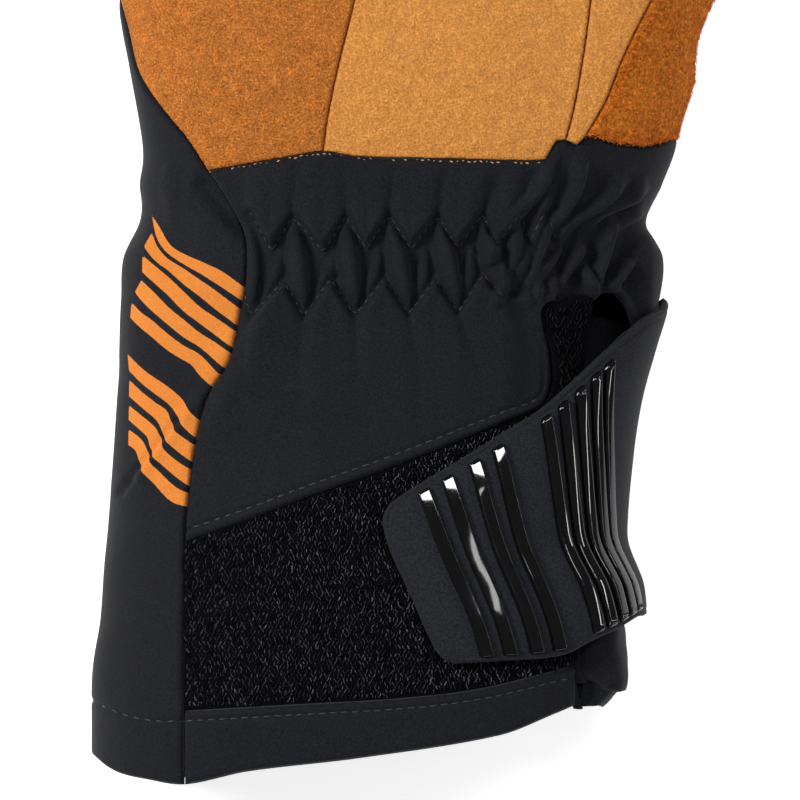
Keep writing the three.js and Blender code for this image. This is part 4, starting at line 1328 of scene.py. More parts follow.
def round_section(share, centre, way, wide, high):
    """A round section across a way in plan, pressed flat where it meets the surface."""
    angle = share * math.tau
    across = wide * signed_power(np.cos(angle), TUBE_SQUARE)
    up = high * signed_power(np.sin(angle), TUBE_SQUARE)
    x = centre[0] - way[1] * across
    y = centre[1] + way[0] * across
    return np.stack([x, y, np.maximum(centre[2] + up, 0)], axis=-1)


def body_tube():
    """The cuff, wrist and palm."""
    def place(u, v):
        return body_points(u, HEM_END + (PALM_END - HEM_END) * v)

    return ring_tube("body", BODY_GRID, place)


TIP_SHARE = 0.22  # share of a tube's rings that its round tip takes
TIP_LEAST, TIP_BLUNT = 0.02, 0.85  # the size at its very end, and how blunt it is


def tip_profile(v):
    """Splits a tube's rings into its straight part and its round tip: how far along the
    straight part, how far into the tip, and the share of the size left."""
    straight = np.minimum(v / (1 - TIP_SHARE), 1)
    angle = np.clip((v - 1 + TIP_SHARE) / TIP_SHARE, 0, 1) * math.pi / 2
    return straight, np.sin(angle), np.maximum(np.cos(angle), TIP_LEAST) ** TIP_BLUNT


def finger_tube(name, base_x, tip_x, tip_y, base_half, tip_half):
    """A straight finger that lifts a little towards its round tip."""
    tip = tip_half * TIP_LENGTH
    length = tip_y - tip - FINGER_ROOT
    whole = tip_y - FINGER_ROOT
    way = Vector((tip_x - base_x, whole)).normalized()

    def place(u, v):
        straight, into_tip, size = tip_profile(v)
        ahead = length * straight + tip * into_tip
        share = ahead / whole
        half = base_half + (tip_half - base_half) * share
        high = FINGER_HEIGHT + (tip_half - FINGER_HEIGHT) * share
        centre = (
            base_x + (tip_x - base_x) * share,
            FINGER_ROOT + ahead,
            FINGER_MIDDLE + FINGER_CURL * share ** 2,
        )
        return round_section(u, centre, way, half * size, high * size)

    return ring_tube(name, FINGER_GRID, place)


THUMB_STEP = 0.05  # between the two places that give the thumb's direction


def thumb_tube():
    """The thumb, whose sections follow a curved line."""
    def place(u, v):
        straight, into_tip, size = tip_profile(v)
        at = straight * (len(THUMB) - 1)
        x, y, z, wide, high = [along(THUMB, column, at) for column in range(1, 6)]
        way_x, way_y = [
            along(THUMB, column, at + THUMB_STEP) - along(THUMB, column, at - THUMB_STEP)
            for column in (1, 2)
        ]
        length = np.hypot(way_x, way_y)
        way = (way_x / length, way_y / length)
        centre = (x + way[0] * THUMB_TIP * into_tip, y + way[1] * THUMB_TIP * into_tip, z)
        return round_section(u, centre, way, wide * size, high * size)

    return ring_tube("thumb", THUMB_GRID, place)


VOXEL = 0.8
SMOOTH_TIMES, SMOOTH_SHARE = 12, 0.5
PANEL_MARGIN = 3  # what is further outside a panel is dropped before it is cut
FINE_BAND = 1.5  # a panel has finer faces this near its edge
MOST_FACES = 46000  # a panel with more faces than this is made lighter


def after_modifier(mesh, kind, **settings):
    """A mesh as one modifier leaves it."""
    holder = bpy.data.objects.new("holder", mesh)
    bpy.context.scene.collection.objects.link(holder)
    modifier = holder.modifiers.new("step", kind)
    for name, value in settings.items():
        setattr(modifier, name, value)
    view = bpy.context.evaluated_depsgraph_get()
    done = bpy.data.meshes.new_from_object(holder.evaluated_get(view))
    bpy.data.objects.remove(holder)
    return done


def joined_hand():
    """One smooth skin over the body, the thumb and the fingers."""
    bm = bmesh_of(body_tube())
    for tube in [thumb_tube()] + [finger_tube(*row) for row in FINGERS]:
        bm.from_mesh(tube)
    tubes = mesh_from(bm, "hand")
    skin = after_modifier(tubes, "REMESH", mode="VOXEL", voxel_size=VOXEL)
    bm = bmesh_of(skin)
    for _ in range(SMOOTH_TIMES):
        bmesh.ops.smooth_vert(
            bm, verts=bm.verts, factor=SMOOTH_SHARE,
            use_axis_x=True, use_axis_y=True, use_axis_z=True,
        )
    for v in bm.verts:
        v.co.z = max(v.co.z, 0)
    bm.to_mesh(skin)
    bm.free()
    return skin


def hand_panel(skin, name, outline, keep):
    """A panel of the hand, cut to its outline in plan and at the side seam: keep is 1 for the
    palm's side and -1 for the back."""
    corners = np.array(outline)
    low, high = corners.min(axis=0) - PANEL_MARGIN, corners.max(axis=0) + PANEL_MARGIN
    part = skin.copy()
    part.name = name
    bm = bmesh_of(part)
    far = [
        v for v in bm.verts
        if not (low[0] < v.co.x < high[0] and low[1] < v.co.y < high[1])
        or keep * (v.co.z - parting_height(v.co.y)) < -PANEL_MARGIN
    ]
    bmesh.ops.delete(bm, geom=far, context="VERTS")
    bm.to_mesh(part)
    bm.free()
    cuts = [plan_cut(outline), side_cut(keep)]
    refine_edges(part, cuts, FINE_BAND)
    trim(part, cuts, VOXEL / 2)
    distance, _ = edge_distance(part, cuts)
    height = -rolled(distance, EDGE_ROUND["hand"])
    if name in WAVES:
        height += waves(name, points_of(part))
    raise_skin(part, height)
    if len(part.polygons) > MOST_FACES:
        part = after_modifier(part, "DECIMATE", ratio=MOST_FACES / len(part.polygons))
    points = points_of(part)
    points[:, 2] = np.maximum(points[:, 2], 0)
    move_points(part, points)
    return part


def finger_outline(index):
    """A finger's outline in plan, between the middles of its crotches."""
    def between(a, b):
        tilt = (FAR_UP - FINGER_ROOT) / ((a[3] + b[3]) / 2 - FINGER_ROOT)
        base = (a[1] + b[1]) / 2
        tip = (a[2] + b[2]) / 2

        def at(y):
            return base + (tip - base) * tilt * (y - FINGER_ROOT) / (FAR_UP - FINGER_ROOT)

        return [(at(FINGER_SEAM), FINGER_SEAM), (at(FAR_UP), FAR_UP)]

    right = [(THUMB_CLEAR, FINGER_SEAM), (THUMB_CLEAR, FAR_UP)]
    left = [(FAR_LEFT, FINGER_SEAM), (FAR_LEFT, FAR_UP)]
    if index > 0:
        right = between(FINGERS[index - 1], FINGERS[index])
    if index < len(FINGERS) - 1:
        left = between(FINGERS[index], FINGERS[index + 1])
    return right + left[::-1]


BACK_HEM_UP = 0.3  # how much higher the back's hem is cut than the front's
BACK_HEM_FROM, BACK_HEM_TO, BACK_HEM_STEP = -62, 50, 2
BACK_HEM = [
    (x, float(along(HEM_EDGE, 1, x)) + BACK_HEM_UP)
    for x in range(BACK_HEM_FROM, BACK_HEM_TO, BACK_HEM_STEP)
]
BACK_OUTLINE = (
    [(FAR_LEFT, BACK_HEM[0][1])] + BACK_HEM
    + [(FAR_RIGHT, BACK_HEM[-1][1]), (FAR_RIGHT, THUMB_BACK_DOWN)]
    + part_of("back thumb", BACK_THUMB_LINE[0], BACK_THUMB_LINE[-2])
    + [(PALM_RIGHT, FINGER_SEAM), (FAR_LEFT, FINGER_SEAM)]
)
THUMB_BACK_OUTLINE = (
    [(FAR_RIGHT, THUMB_BACK_DOWN), (FAR_RIGHT, THUMB_BACK_UP), (THUMB_LEFT, THUMB_BACK_UP)]
    + part_of("back thumb")[::-1]
)


# The strap and its ribs

def strap_stand(turn, y):
    """How far the strap's inner face stands off the cuff."""
    low = smoothstep(STRAP_FLARE_START, STRAP_FLARE_END, y)
    side = 1 - smoothstep(*STRAP_FLARE_TURNS, turn)
    return STRAP_CLEAR + STRAP_FLARE * low * side


STAND_TIMES = 4  # its stand and its turn depend on each other, and settle after so many steps


def strap_edge(edge, ends):
    """The turn and the length along the glove of each end of a strap's edge."""
    rows = []
    for i, (place, y) in enumerate(ends):
        if i < STRAP_ON_SIDE[edge]:
            turn = turn_at_height(place, y)
        else:
            turn = turn_at_x(place, y, STRAP_THICK)
            for _ in range(STAND_TIMES):
                turn = turn_at_x(place, y, strap_stand(turn, y) + STRAP_THICK)
        rows.append((i, float(turn), y))
    return rows


STRAP_EDGES = [strap_edge("top", STRAP_TOP), strap_edge("bottom", STRAP_BOTTOM)]


def strap_points(at, across, out):
    """The strap's surface by place along it and share across it."""
    top, bottom = STRAP_EDGES
    turn = along(top, 1, at) * (1 - across) + along(bottom, 1, at) * across
    y = along(top, 2, at) * (1 - across) + along(bottom, 2, at) * across
    near_top = np.clip(1 - across * STRAP_TIP_WIDE / EDGE_DROP_WIDE, 0, 1)
    stand = strap_stand(turn, y) - EDGE_DROP * near_top ** 2
    points = body_points(turn, y, stand + out)
    points[..., 1] = y
    return points


def tip_draw(across):
    """How far the tip's rounded corners draw it back, in millimetres."""
    draw = np.zeros_like(across)
    for radius, from_edge in zip(STRAP_CORNERS, (across, 1 - across)):
        inward = np.clip(radius - from_edge * STRAP_TIP_WIDE, 0, radius)
        draw += radius - np.sqrt(radius ** 2 - inward ** 2)
    return draw


def strap_skin():
    """The strap's upper face, from the side seam to its rounded tip."""
    def place(u, v):
        dense = np.cos(v * math.pi) * STRAP_EDGE_DENSE
        across = 0.5 - 0.5 * dense - (0.5 - v) * (1 - STRAP_EDGE_DENSE)
        near_tip = u ** TIP_ONLY
        at = u * STRAP_LAST - tip_draw(across) / TIP_REACH * near_tip
        points = strap_points(at, across, STRAP_THICK)
        points[:, 0] -= STRAP_ROUND_TIP * near_tip * (1 - (2 * across - 1) ** 4)
        return points

    return skin_grid("strap", *STRAP_GRID, place)


def rim_distance(mesh):
    """How far each point is from a skin's own rim."""
    bm = bmesh_of(mesh)
    rim = [v.co.copy() for v in bm.verts if v.is_boundary]
    bm.free()
    tree = KDTree(len(rim))
    for i, spot in enumerate(rim):
        tree.insert(spot, i)
    tree.balance()
    return np.array([tree.find(Vector(p))[2] for p in points_of(mesh)])


def strap():
    """The closure strap's cloth, with a line pressed along its edge."""
    mesh = strap_skin()
    points = points_of(mesh)
    edge = rim_distance(mesh)
    line_in, line_wide, line_deep = STRAP_LINE
    height = waves("strap", points) - rolled(edge, EDGE_ROUND["strap"])
    height -= line_deep * np.exp(-((edge - line_in) / line_wide) ** 2)
    raise_skin(mesh, height)
    return mesh


def outward_faces(mesh):
    """Turns a mesh's faces all the same way, outwards if it is closed."""
    bm = bmesh_of(mesh)
    bmesh.ops.recalc_face_normals(bm, faces=bm.faces)
    bm.to_mesh(mesh)
    bm.free()


def straight_bar(bevel):
    """A rib before it is bent: a bar along y, rounded on top."""
    bm = bmesh.new()
    bmesh.ops.create_cube(bm, size=1)
    long_edges = [e for e in bm.edges if abs(e.verts[0].co.y - e.verts[1].co.y) > 0.5]
    bmesh.ops.subdivide_edges(bm, edges=long_edges, cuts=RIB_STEPS, use_grid_fill=True)
    bmesh.ops.scale(bm, vec=(RIB_WIDE, RIB_LONG, RIB_HIGH * 2), verts=bm.verts)
    sharp = [
        e for e in bm.edges
        if len(e.link_faces) == 2 and e.calc_face_angle() > SHARP
        and max(v.co.z for v in e.verts) > 0
    ]
    bmesh.ops.bevel(
        bm, geom=sharp, offset=bevel, offset_type="OFFSET", segments=RIB_ROUND_STEPS,
        profile=0.5, affect="EDGES", material=-1, clamp_overlap=True,
    )
    return mesh_from(bm, "rib")


RIB_BESIDE = 0.02  # a place a little further along the strap


def bent_bar(at, bevel):
    """A rounded bar, made straight and then bent across the strap at a place along it."""
    mesh = straight_bar(bevel)
    local = points_of(mesh)
    share = RIB_FROM + (RIB_TO - RIB_FROM) * (local[:, 1] / RIB_LONG + 0.5)
    centre = strap_points(np.full(len(local), at), share, STRAP_THICK)
    further = strap_points(np.full(len(local), at + RIB_BESIDE), share, STRAP_THICK)
    lifted = strap_points(np.full(len(local), at), share, STRAP_THICK + 1)
    ahead = further - centre
    ahead /= np.linalg.norm(ahead, axis=1)[:, None]
    up = lifted - centre
    up /= np.linalg.norm(up, axis=1)[:, None]
    crown = local[:, 2] * (local[:, 2] > 0) + RIB_ROOT * np.minimum(local[:, 2], 0)
    move_points(mesh, centre + ahead * local[:, :1] + up * crown[:, None])
    outward_faces(mesh)
    return mesh


# The gusset

# Where the roll at the lower end laps over itself, and the hollow under it
ROLL_LAP = [(579, 676), (590, 679), (597, 680), (604, 686), (613, 688), (626, 684)]
ROLL_LAP_HIGH, ROLL_LAP_LEFT, ROLL_LAP_RIGHT = 1.4, 5.0, 0.4
ROLL_HOLLOW = [(588, 684), (590, 693)]
ROLL_HOLLOW_WIDE, ROLL_HOLLOW_DEEP = 1.8, 1.5
ROLL_END = (-96, -93)  # over this y, above the hem, both begin


def gusset_skin():
    """The gusset before its waves: across it from the loop field to the side seam, and down."""
    def place(u, v):
        down = GUSSET[0][0] + (GUSSET[-1][0] - GUSSET[0][0]) * v
        y = -down
        dip, lobe, roll = [along(GUSSET, column, down) for column in (1, 2, 3)]
        edge = along([(b, a) for a, b in GUSSET_SEAM], 1, y)
        edge = edge + GUSSET_CLEAR - TUCKED_UNDER * (1 - roll)
        crest = body_points(turn_at_x(edge, y), y)[:, 2] - GUSSET_SUNK
        crest -= TOP_SUNK * (1 - smoothstep(*TOP_SUNK_END, down))
        foot = body_points(turn_at_height(PARTING, y), y)[:, 0]
        spots_x = [edge + (lobe - edge) * share for share, _, _ in GUSSET_SECTION]
        spots_z = [
            crest - dip * deep * (1 - roll) - drop * roll for _, deep, drop in GUSSET_SECTION
        ]
        side = lobe * roll + np.minimum(lobe, foot - GUSSET_SIDE_IN) * (1 - roll)
        spots_x += [side, foot - GUSSET_FOOT_IN]
        spots_z += [np.full_like(y, PARTING + GUSSET_KNEE), np.full_like(y, PARTING)]
        x = spline(np.stack(spots_x), u)
        z = spline(np.stack(spots_z), u)
        return np.stack([x, y, z], axis=-1)

    return skin_grid("side_gusset", *GUSSET_GRID, place)


def spline(rows, share):
    """A smooth value through rows of spots, one spline for each column."""
    last = len(rows) - 1
    at = np.clip(share, 0, 1) * last
    i = np.minimum(at.astype(int), last - 1)
    t = at - i
    column = np.arange(rows.shape[1])
    before, start = rows[np.maximum(i - 1, 0), column], rows[i, column]
    end, after = rows[i + 1, column], rows[np.minimum(i + 2, last), column]
    return 0.5 * (
        2 * start + (end - before) * t
        + (2 * before - 5 * start + 4 * end - after) * t ** 2
        + (3 * start - before - 3 * end + after) * t ** 3
    )


def side_gusset():
    """The soft fold beside the loop field, and its rolled lower end."""
    mesh = gusset_skin()
    outward_faces(mesh)
    if normals_of(mesh)[:, 2].mean() < 0:
        mesh.flip_normals()
    points = points_of(mesh)
    spots = points[:, :2]
    height = waves("side_gusset", points)
    lap_line = smooth_line(plan(ROLL_LAP))
    lap = lapped_ridge(spots, lap_line, ROLL_LAP_HIGH, ROLL_LAP_LEFT, ROLL_LAP_RIGHT)
    hollow = soft_ridge(spots, plan(ROLL_HOLLOW), ROLL_HOLLOW_WIDE, ROLL_HOLLOW_DEEP)
    height += (lap - hollow) * smoothstep(*ROLL_END, spots[:, 1])
    raise_skin(mesh, height)
    return mesh


# Loops and stitches

LOOP_RADIUS, LOOP_THICK = 0.2, 0.25
LOOP_SIDES, LOOP_STEPS = 4, 5
LOOP_ARCH = math.pi * 1.1
STITCH_GRID = (8, 6)
STITCH_FLAT = 0.8  # a stitch's height as a share of its width
HAIR_LONG, HAIR_THICK = 0.85, 0.08
HAIR_SIDES = 3
HAIR_POINT = 0.3  # a hair's thickness at its tip, as a share of its root


def thread_loop(radius, thick):
    """One small arch of yarn."""
    bm = bmesh.new()
    bmesh.ops.create_circle(bm, segments=LOOP_SIDES, radius=thick)
    bmesh.ops.rotate(bm, matrix=Matrix.Rotation(math.pi / 2, 3, "X"), verts=bm.verts)
    bmesh.ops.translate(bm, vec=(radius, 0, 0), verts=bm.verts)
    bmesh.ops.spin(
        bm, geom=bm.verts[:] + bm.edges[:], axis=(0, 1, 0), cent=(0, 0, 0),
        angle=-LOOP_ARCH, steps=LOOP_STEPS,
    )
    bmesh.ops.recalc_face_normals(bm, faces=bm.faces)
    return mesh_from(bm, "loop")


def thread_stitch(length, thick):
    """One stitch of thread, lying along x."""
    bm = bmesh.new()
    u_segments, v_segments = STITCH_GRID
    bmesh.ops.create_uvsphere(bm, u_segments=u_segments, v_segments=v_segments, radius=1)
    bmesh.ops.rotate(bm, matrix=Matrix.Rotation(math.pi / 2, 3, "Y"), verts=bm.verts)
    bmesh.ops.scale(bm, vec=(length / 2, thick, thick * STITCH_FLAT), verts=bm.verts)
    return mesh_from(bm, "stitch")


def hair(length, thick):
    """One short hair of the suede's nap, lying along x."""
    bm = bmesh.new()
    bmesh.ops.create_cone(
        bm, segments=HAIR_SIDES, radius1=thick, radius2=thick * HAIR_POINT, depth=length,
        cap_ends=False,
    )
    bmesh.ops.rotate(bm, matrix=Matrix.Rotation(math.pi / 2, 3, "Y"), verts=bm.verts)
    bmesh.ops.translate(bm, vec=(length / 2, 0, 0), verts=bm.verts)
    return mesh_from(bm, "hair")


NAP_COUNT = 12000
NAP_SEED = 11
NAP_TURN = (-2.4, 0.6)  # the ways in which the hairs lie, in radians
NAP_TILT = (-0.5, 0.5)
NAP_LIFT = (0.05, 0.6)  # how steeply they stand
NAP_SIZE = (0.6, 1.3)


def nap_places(mesh):
    """Seeded places for hairs all over a skin."""
    dice = random.Random(NAP_SEED)
    points, normals = points_of(mesh), normals_of(mesh)
    places = []
    for _ in range(NAP_COUNT):
        index = dice.randrange(len(points))
        normal = Vector(normals[index])
        turn = dice.uniform(*NAP_TURN)
        flat = Vector((math.cos(turn), math.sin(turn), dice.uniform(*NAP_TILT)))
        ahead = (flat - normal * flat.dot(normal)).normalized()
        ahead += normal * dice.uniform(*NAP_LIFT)
        up = normal - ahead * normal.dot(ahead) / ahead.length_squared
        size = Matrix.Scale(dice.uniform(*NAP_SIZE), 4)
        places.append(standing(Vector(points[index]), up, ahead) @ size)
    return places


def repeated(template, name, matrices):
    """One mesh with a copy of a small shape at each place."""
    bm = bmesh.new()
    for matrix in matrices:
        template.transform(matrix)
        bm.from_mesh(template)
        template.transform(matrix.inverted())
    return mesh_from(bm, name)


ABOVE_ALL = 120  # height from which spots are dropped on a skin


def tree_of(mesh):
    bm = bmesh_of(mesh)
    tree = BVHTree.FromBMesh(bm)
    bm.free()
    return tree


def drop_on(tree, x, y):
    """The place on a skin under a spot in plan, and the skin's normal there."""
    hit, normal, _, _ = tree.ray_cast(Vector((x, y, ABOVE_ALL)), Vector((0, 0, -1)))
    return hit, normal


def standing(hit, normal, ahead):
    """A place with its z along the normal and its x along a direction."""
    z = normal.normalized()
    x = (ahead - z * ahead.dot(z)).normalized()
    y = z.cross(x)
    return Matrix.Translation(hit) @ Matrix((x, y, z)).transposed().to_4x4()


# Rows of stitches: the space that a stitch takes along its row, and the pitch
GATHER_ROW = (1.55, 1.75)
EDGE_ROW = (1.5, 2.1)
LEATHER_ROW = (0.5, 1.1)
PALM_ROW = (0.8, 1.7)
# Where two of them end, and how far two run to the left of their seam
RIM_ROW_END, LEATHER_ROW_END = (28.4, -39.2), (27.8, 7.2)
LEATHER_ROW_BESIDE, PALM_ROW_BESIDE = -0.2, 0.2
# The stitches at the leather's edge are uneven: wobble, shift, size, and the share that is there
LEATHER_WOBBLE = 0.8
LEATHER_SHIFT, LEATHER_SIZE, LEATHER_KEPT = (-0.2, 0.2), (0.5, 1.2), 0.7
LEATHER_SEED = 5
STITCH_SUNK = 0.02  # how far a stitch's middle lies in the cloth
STITCH_WOBBLE = 0.12  # how far the stitches of a row turn out of its line


def stitch_row(tree, line, length, pitch, wobble=STITCH_WOBBLE):
    """Places for stitches along a line in plan, one after another on a skin."""
    line = [Vector(p) for p in line]
    lengths = [0]
    for a, b in zip(line, line[1:]):
        lengths.append(lengths[-1] + (b - a).length)
    dice = random.Random(len(line) * 31 + int(length * 100))

    def spot(at):
        i = max(0, min(len(line) - 2, int(np.searchsorted(lengths, at, side="right")) - 1))
        span = max(lengths[i + 1] - lengths[i], TINY)
        return line[i].lerp(line[i + 1], (at - lengths[i]) / span)

    places = []
    count = int(lengths[-1] / pitch)
    for n in range(count):
        at = (n + 0.5) * lengths[-1] / max(count, 1)
        a, b = spot(at - length / 2), spot(at + length / 2)
        middle = (a + b) / 2
        hit, normal = drop_on(tree, middle.x, middle.y)
        if hit is None:
            continue
        start, _ = drop_on(tree, a.x, a.y)
        end, _ = drop_on(tree, b.x, b.y)
        ahead = (end - start) if start and end else Vector((b.x - a.x, b.y - a.y, 0))
        ahead = ahead + Vector((0, 0, 1)).cross(ahead) * dice.uniform(-wobble, wobble)
        places.append(standing(hit - normal * STITCH_SUNK, normal, ahead))
    return places


LOOP_SEED = 7
LOOP_PITCH = 0.76
LOOP_WANDER = (-0.15, 0.15)
LOOP_TURN, LOOP_LEAN, LOOP_SIZE = (-0.7, 0.7), (-0.5, 0.5), (0.8, 1.25)
# Where the rows of loops start, and how far they go across and up the cuff
LOOPS_LEFT, LOOPS_DOWN, LOOPS_WIDE, LOOPS_LONG = -41, -100, 80, 90
LOOPS_EDGE = 0.5  # bare ground along the field's edge
LOOPS_UNDER_STRAP = 2.5  # how far the loops go on under the strap


def loop_spots(dice):
    """Rows of spots over the loop field, a little uneven."""
    spots = []
    for row in range(int(LOOPS_LONG / LOOP_PITCH)):
        for column in range(int(LOOPS_WIDE / LOOP_PITCH)):
            x = LOOPS_LEFT + (column + 0.5 * (row % 2)) * LOOP_PITCH + dice.uniform(*LOOP_WANDER)
            y = LOOPS_DOWN + row * LOOP_PITCH + dice.uniform(*LOOP_WANDER)
            spots.append((x, y))
    return np.array(spots)


def loop_places(tree):
    """Places for the loops, on what the strap leaves bare of their field."""
    dice = random.Random(LOOP_SEED)
    spots = loop_spots(dice)
    outline = OUTLINES["loop_patch"]
    shadow = strap_shadow()
    inside = inside_outline(spots, outline)
    clear, _, _ = nearest_on_line(spots, list(outline) + [outline[0]])
    covered = inside_outline(spots, shadow)
    deep, _, _ = nearest_on_line(spots, shadow + [shadow[0]])
    bare = inside & (clear > LOOPS_EDGE) & ~(covered & (deep > LOOPS_UNDER_STRAP))
    places = []
    for x, y in spots[bare]:
        hit, normal = drop_on(tree, x, y)
        if hit is None:
            continue
        turn = dice.uniform(*LOOP_TURN)
        ahead = Vector((math.sin(turn), math.cos(turn), 0))
        lean = Matrix.Rotation(dice.uniform(*LOOP_LEAN), 4, "X")
        size = Matrix.Scale(dice.uniform(*LOOP_SIZE), 4)
        places.append(standing(hit, normal, ahead) @ lean @ size)
    return places


# The place along the strap where its outline starts, and how many spots each edge takes
SHADOW_FROM, SHADOW_COUNT = 3, 20


def strap_shadow():
    """The strap's outline seen from above, over the loop field."""
    ats = np.linspace(SHADOW_FROM, STRAP_LAST, SHADOW_COUNT)
    top = strap_points(ats, np.zeros(SHADOW_COUNT), 0)[:, :2]
    bottom = strap_points(ats, np.ones(SHADOW_COUNT), 0)[:, :2]
    return [tuple(p) for p in top] + [tuple(p) for p in bottom[::-1]]


# Putting it together

skins = {
    "side_panel": (side_panel(), ["print", "lining"], "softshell"),
    "wrist_front": (wrist_front(), ["cloth", "lining"], "softshell"),
    "loop_patch": (loop_patch(), ["ground", "lining"], "loop"),
    "hem_front": (hem_front(), ["cloth", "lining"], "softshell"),
}
hand = joined_hand()
HAND_PANELS = [
    ("palm_outer", OUTLINES["palm_outer"], 1, "outer", "outer_leather"),
    ("palm_centre", OUTLINES["palm_centre"], 1, "palm", "palm_leather"),
    ("thumb_front", OUTLINES["thumb_front"], 1, "palm", "palm_leather"),
    ("thumb_suede", OUTLINES["thumb_suede"], 1, "suede", "suede"),
    ("back_panel", BACK_OUTLINE, -1, "cloth", "softshell"),
    ("thumb_back", THUMB_BACK_OUTLINE, -1, "cloth", "softshell"),
]
for index, row in enumerate(FINGERS):
    shape = finger_outline(index)
    look, slot = ("outer", "outer_leather") if row[0] == "little" else ("palm", "palm_leather")
    HAND_PANELS.append((row[0] + "_front", shape, 1, look, slot))
    HAND_PANELS.append((row[0] + "_back", shape, -1, "cloth", "softshell"))
for node, outline, keep, look, slot in HAND_PANELS:
    skins[node] = (hand_panel(hand, node, outline, keep), [look, "lining"], slot)

wrist_tree = tree_of(skins["wrist_front"][0])
side_tree = tree_of(skins["side_panel"][0])
hem_tree = tree_of(skins["hem_front"][0])
loop_tree = tree_of(skins["loop_patch"][0])
palm_tree = tree_of(skins["palm_centre"][0])

gather_places = []
for row in (UPPER_ROW, LOWER_ROW):
    gather_places += stitch_row(wrist_tree, plan(row), *GATHER_ROW)

rim_line = beside(part_of("rim", CORNER_RIM, RIM_ROW_END), RIM_ROW_IN)
hem_line = beside(part_of("hem"), -HEM_ROW_IN)
edge_places = stitch_row(wrist_tree, rim_line, *EDGE_ROW)
edge_places += stitch_row(hem_tree, hem_line, *EDGE_ROW)
edge_places += stitch_row(side_tree, smooth_line(plan(HEM_ROW_SIDE)), *EDGE_ROW)

leather_line = beside(part_of("leather", CORNER_LEFT, LEATHER_ROW_END), LEATHER_ROW_BESIDE)
leather_places = stitch_row(wrist_tree, leather_line, *LEATHER_ROW, wobble=LEATHER_WOBBLE)
dice = random.Random(LEATHER_SEED)
leather_places = [
    place @ Matrix.Translation((0, dice.uniform(*LEATHER_SHIFT), 0))
    @ Matrix.Scale(dice.uniform(*LEATHER_SIZE), 4)
    for place in leather_places if dice.random() < LEATHER_KEPT
]
palm_places = stitch_row(palm_tree, beside(part_of("thumb"), PALM_ROW_BESIDE), *PALM_ROW)

# Each group of stitches: its places, the length and half width of one stitch, and its thread
STITCHING = {
    "gather_stitches": (gather_places, (1.5, 0.22), "dark thread"),
    "leather_stitches": (leather_places, (0.6, 0.15), "tan thread"),
    "palm_stitches": (palm_places, (0.8, 0.13), "brown thread"),
    "edge_stitches": (edge_places, (1.5, 0.2), "grey thread"),
}

suede_skin = skins["thumb_suede"][0].copy()
for node, (mesh, looks, slot) in skins.items():
    piece = place_piece(mesh, node + "_skin", looks)
    give_wall(piece, LOOP_FIELD_WALL if node == "loop_patch" else PANEL_WALL, lining=True)
    dress(piece, node)

gusset = place_piece(side_gusset(), "side_gusset_skin", ["cloth"])
give_wall(gusset, GUSSET_WALL)
dress(gusset, "side_gusset")

strap_piece = place_piece(strap(), "strap_cloth_skin", ["strap"])
give_wall(strap_piece, STRAP_THICK - STRAP_BACK_GAP)
dress(strap_piece, "strap")

for number, (at, bevel) in enumerate(zip(RIBS, RIB_BEVELS), start=1):
    rib = place_piece(bent_bar(at, bevel), f"rib_{number}_moulded", ["silicone"])
    if bevel < RIB_WIDE / 4:
        rib.modifiers.new("flat top", "WEIGHTED_NORMAL").weight = FLAT_TOP_WEIGHT
    dress(rib, f"grip_rib_{number}")

loops = repeated(thread_loop(LOOP_RADIUS, LOOP_THICK), "loops", loop_places(loop_tree))
dress(place_piece(loops, "loop_pile_yarn", ["loops"]), None)

nap_hairs = repeated(hair(HAIR_LONG, HAIR_THICK), "nap", nap_places(suede_skin))
dress(place_piece(nap_hairs, "suede_nap", ["nap"]), None)

for name, (places, size, look) in STITCHING.items():
    mesh = repeated(thread_stitch(*size), name, places)
    dress(place_piece(mesh, name, [look]), None)


# Floor, light and camera

FLOOR_HALF = 6  # metres


def make_floor():
    bm = bmesh.new()
    bmesh.ops.create_grid(bm, x_segments=1, y_segments=1, size=FLOOR_HALF)
    mesh = mesh_from(bm, "floor")
    mesh.materials.append(floor_finish())
    floor = bpy.data.objects.new("floor", mesh)
    bpy.context.scene.collection.objects.link(floor)


# What the lights shine on, on the pattern
TIP_RIBS_TOP = (12, -51, 46)  # the upper ends of the four ribs near the tip
TIP_RIBS_MIDDLE = (15.6, -72, 46)
CUFF_MIDDLE, STRAP_MIDDLE = (0, -40, 20), (40, -50, 30)

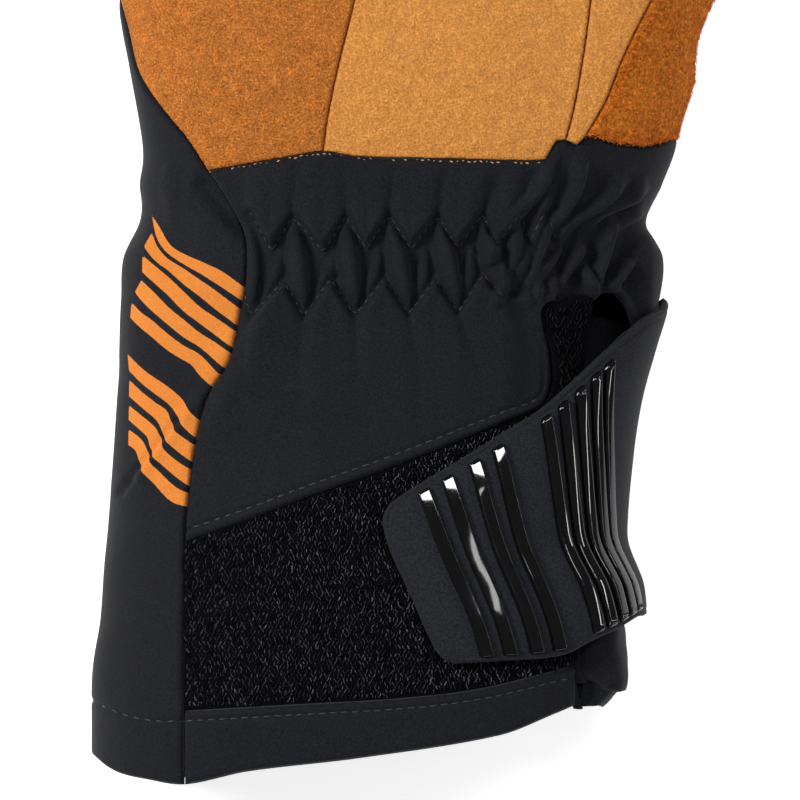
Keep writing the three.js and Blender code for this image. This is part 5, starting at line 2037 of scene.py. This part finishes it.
# Each soft box: name, what it shines on, its turns to the right and up from straight above in
# degrees, its distance and its two sizes in metres, its power in watts, and its roll in degrees
SOFTBOXES = [
    ("key_strip", TIP_RIBS_TOP, 10.4, 17.6, 0.85, 0.32, 0.056, 2.1, -15),
    ("glint_box", TIP_RIBS_MIDDLE, 18.6, 9.3, 0.85, 0.021, 0.062, 0.045, 0),
    ("left_box", CUFF_MIDDLE, -45, 20, 0.9, 0.28, 0.28, 7.6, 0),
    ("right_strip", STRAP_MIDDLE, 66, 8, 0.9, 0.035, 0.7, 1.8, 0),
    ("front_box", CUFF_MIDDLE, 8, -56, 1.0, 0.7, 0.4, 1.2, 0),
]
SKY_STRENGTH = 0.17


def softbox(name, over, right, up, far, wide, high, power, roll):
    """A soft box that shines on a spot of the pattern."""
    light = bpy.data.lights.new(name, "AREA")
    light.shape = "RECTANGLE"
    light.size, light.size_y = wide, high
    light.energy = power
    lamp = bpy.data.objects.new(name, light)
    way = Vector((math.tan(math.radians(right)), math.tan(math.radians(up)), 1)).normalized()
    lamp.location = ORIGIN + Vector(over) * MM + way * far
    across = (Vector((1, 0, 0)) - way * way.x).normalized()
    facing = Matrix((across, way.cross(across), way)).transposed()
    lamp.rotation_euler = (facing @ Matrix.Rotation(math.radians(roll), 3, "Z")).to_euler()
    bpy.context.scene.collection.objects.link(lamp)


LENS = 800  # millimetres, so long that the view is nearly without perspective
SENSOR = 36
VIEW_END = 20  # metres
VIEW_PLANE = 0.03  # height at which the photograph's pixels have their size


def make_camera():
    """Straight down, over the middle of the photograph."""
    camera = bpy.data.cameras.new("camera")
    camera.lens = LENS
    camera.sensor_width = SENSOR
    camera.clip_end = VIEW_END
    field = FRAME_WIDE * PIXEL * MM
    middle = plan([FRAME_MIDDLE])[0]
    eye = bpy.data.objects.new("camera", camera)
    eye.location = (
        ORIGIN.x + middle[0] * MM, ORIGIN.y + middle[1] * MM, VIEW_PLANE + field * LENS / SENSOR,
    )
    bpy.context.scene.collection.objects.link(eye)
    bpy.context.scene.camera = eye


def make_world():
    world = bpy.data.worlds.new("studio")
    world.use_nodes = True
    sky = world.node_tree.nodes["Background"]
    sky.inputs["Color"].default_value = (1, 1, 1, 1)
    sky.inputs["Strength"].default_value = SKY_STRENGTH
    bpy.context.scene.world = world


make_floor()
make_camera()
make_world()
for box in SOFTBOXES:
    softbox(*box)
bpy.context.scene.view_settings.view_transform = "Standard"
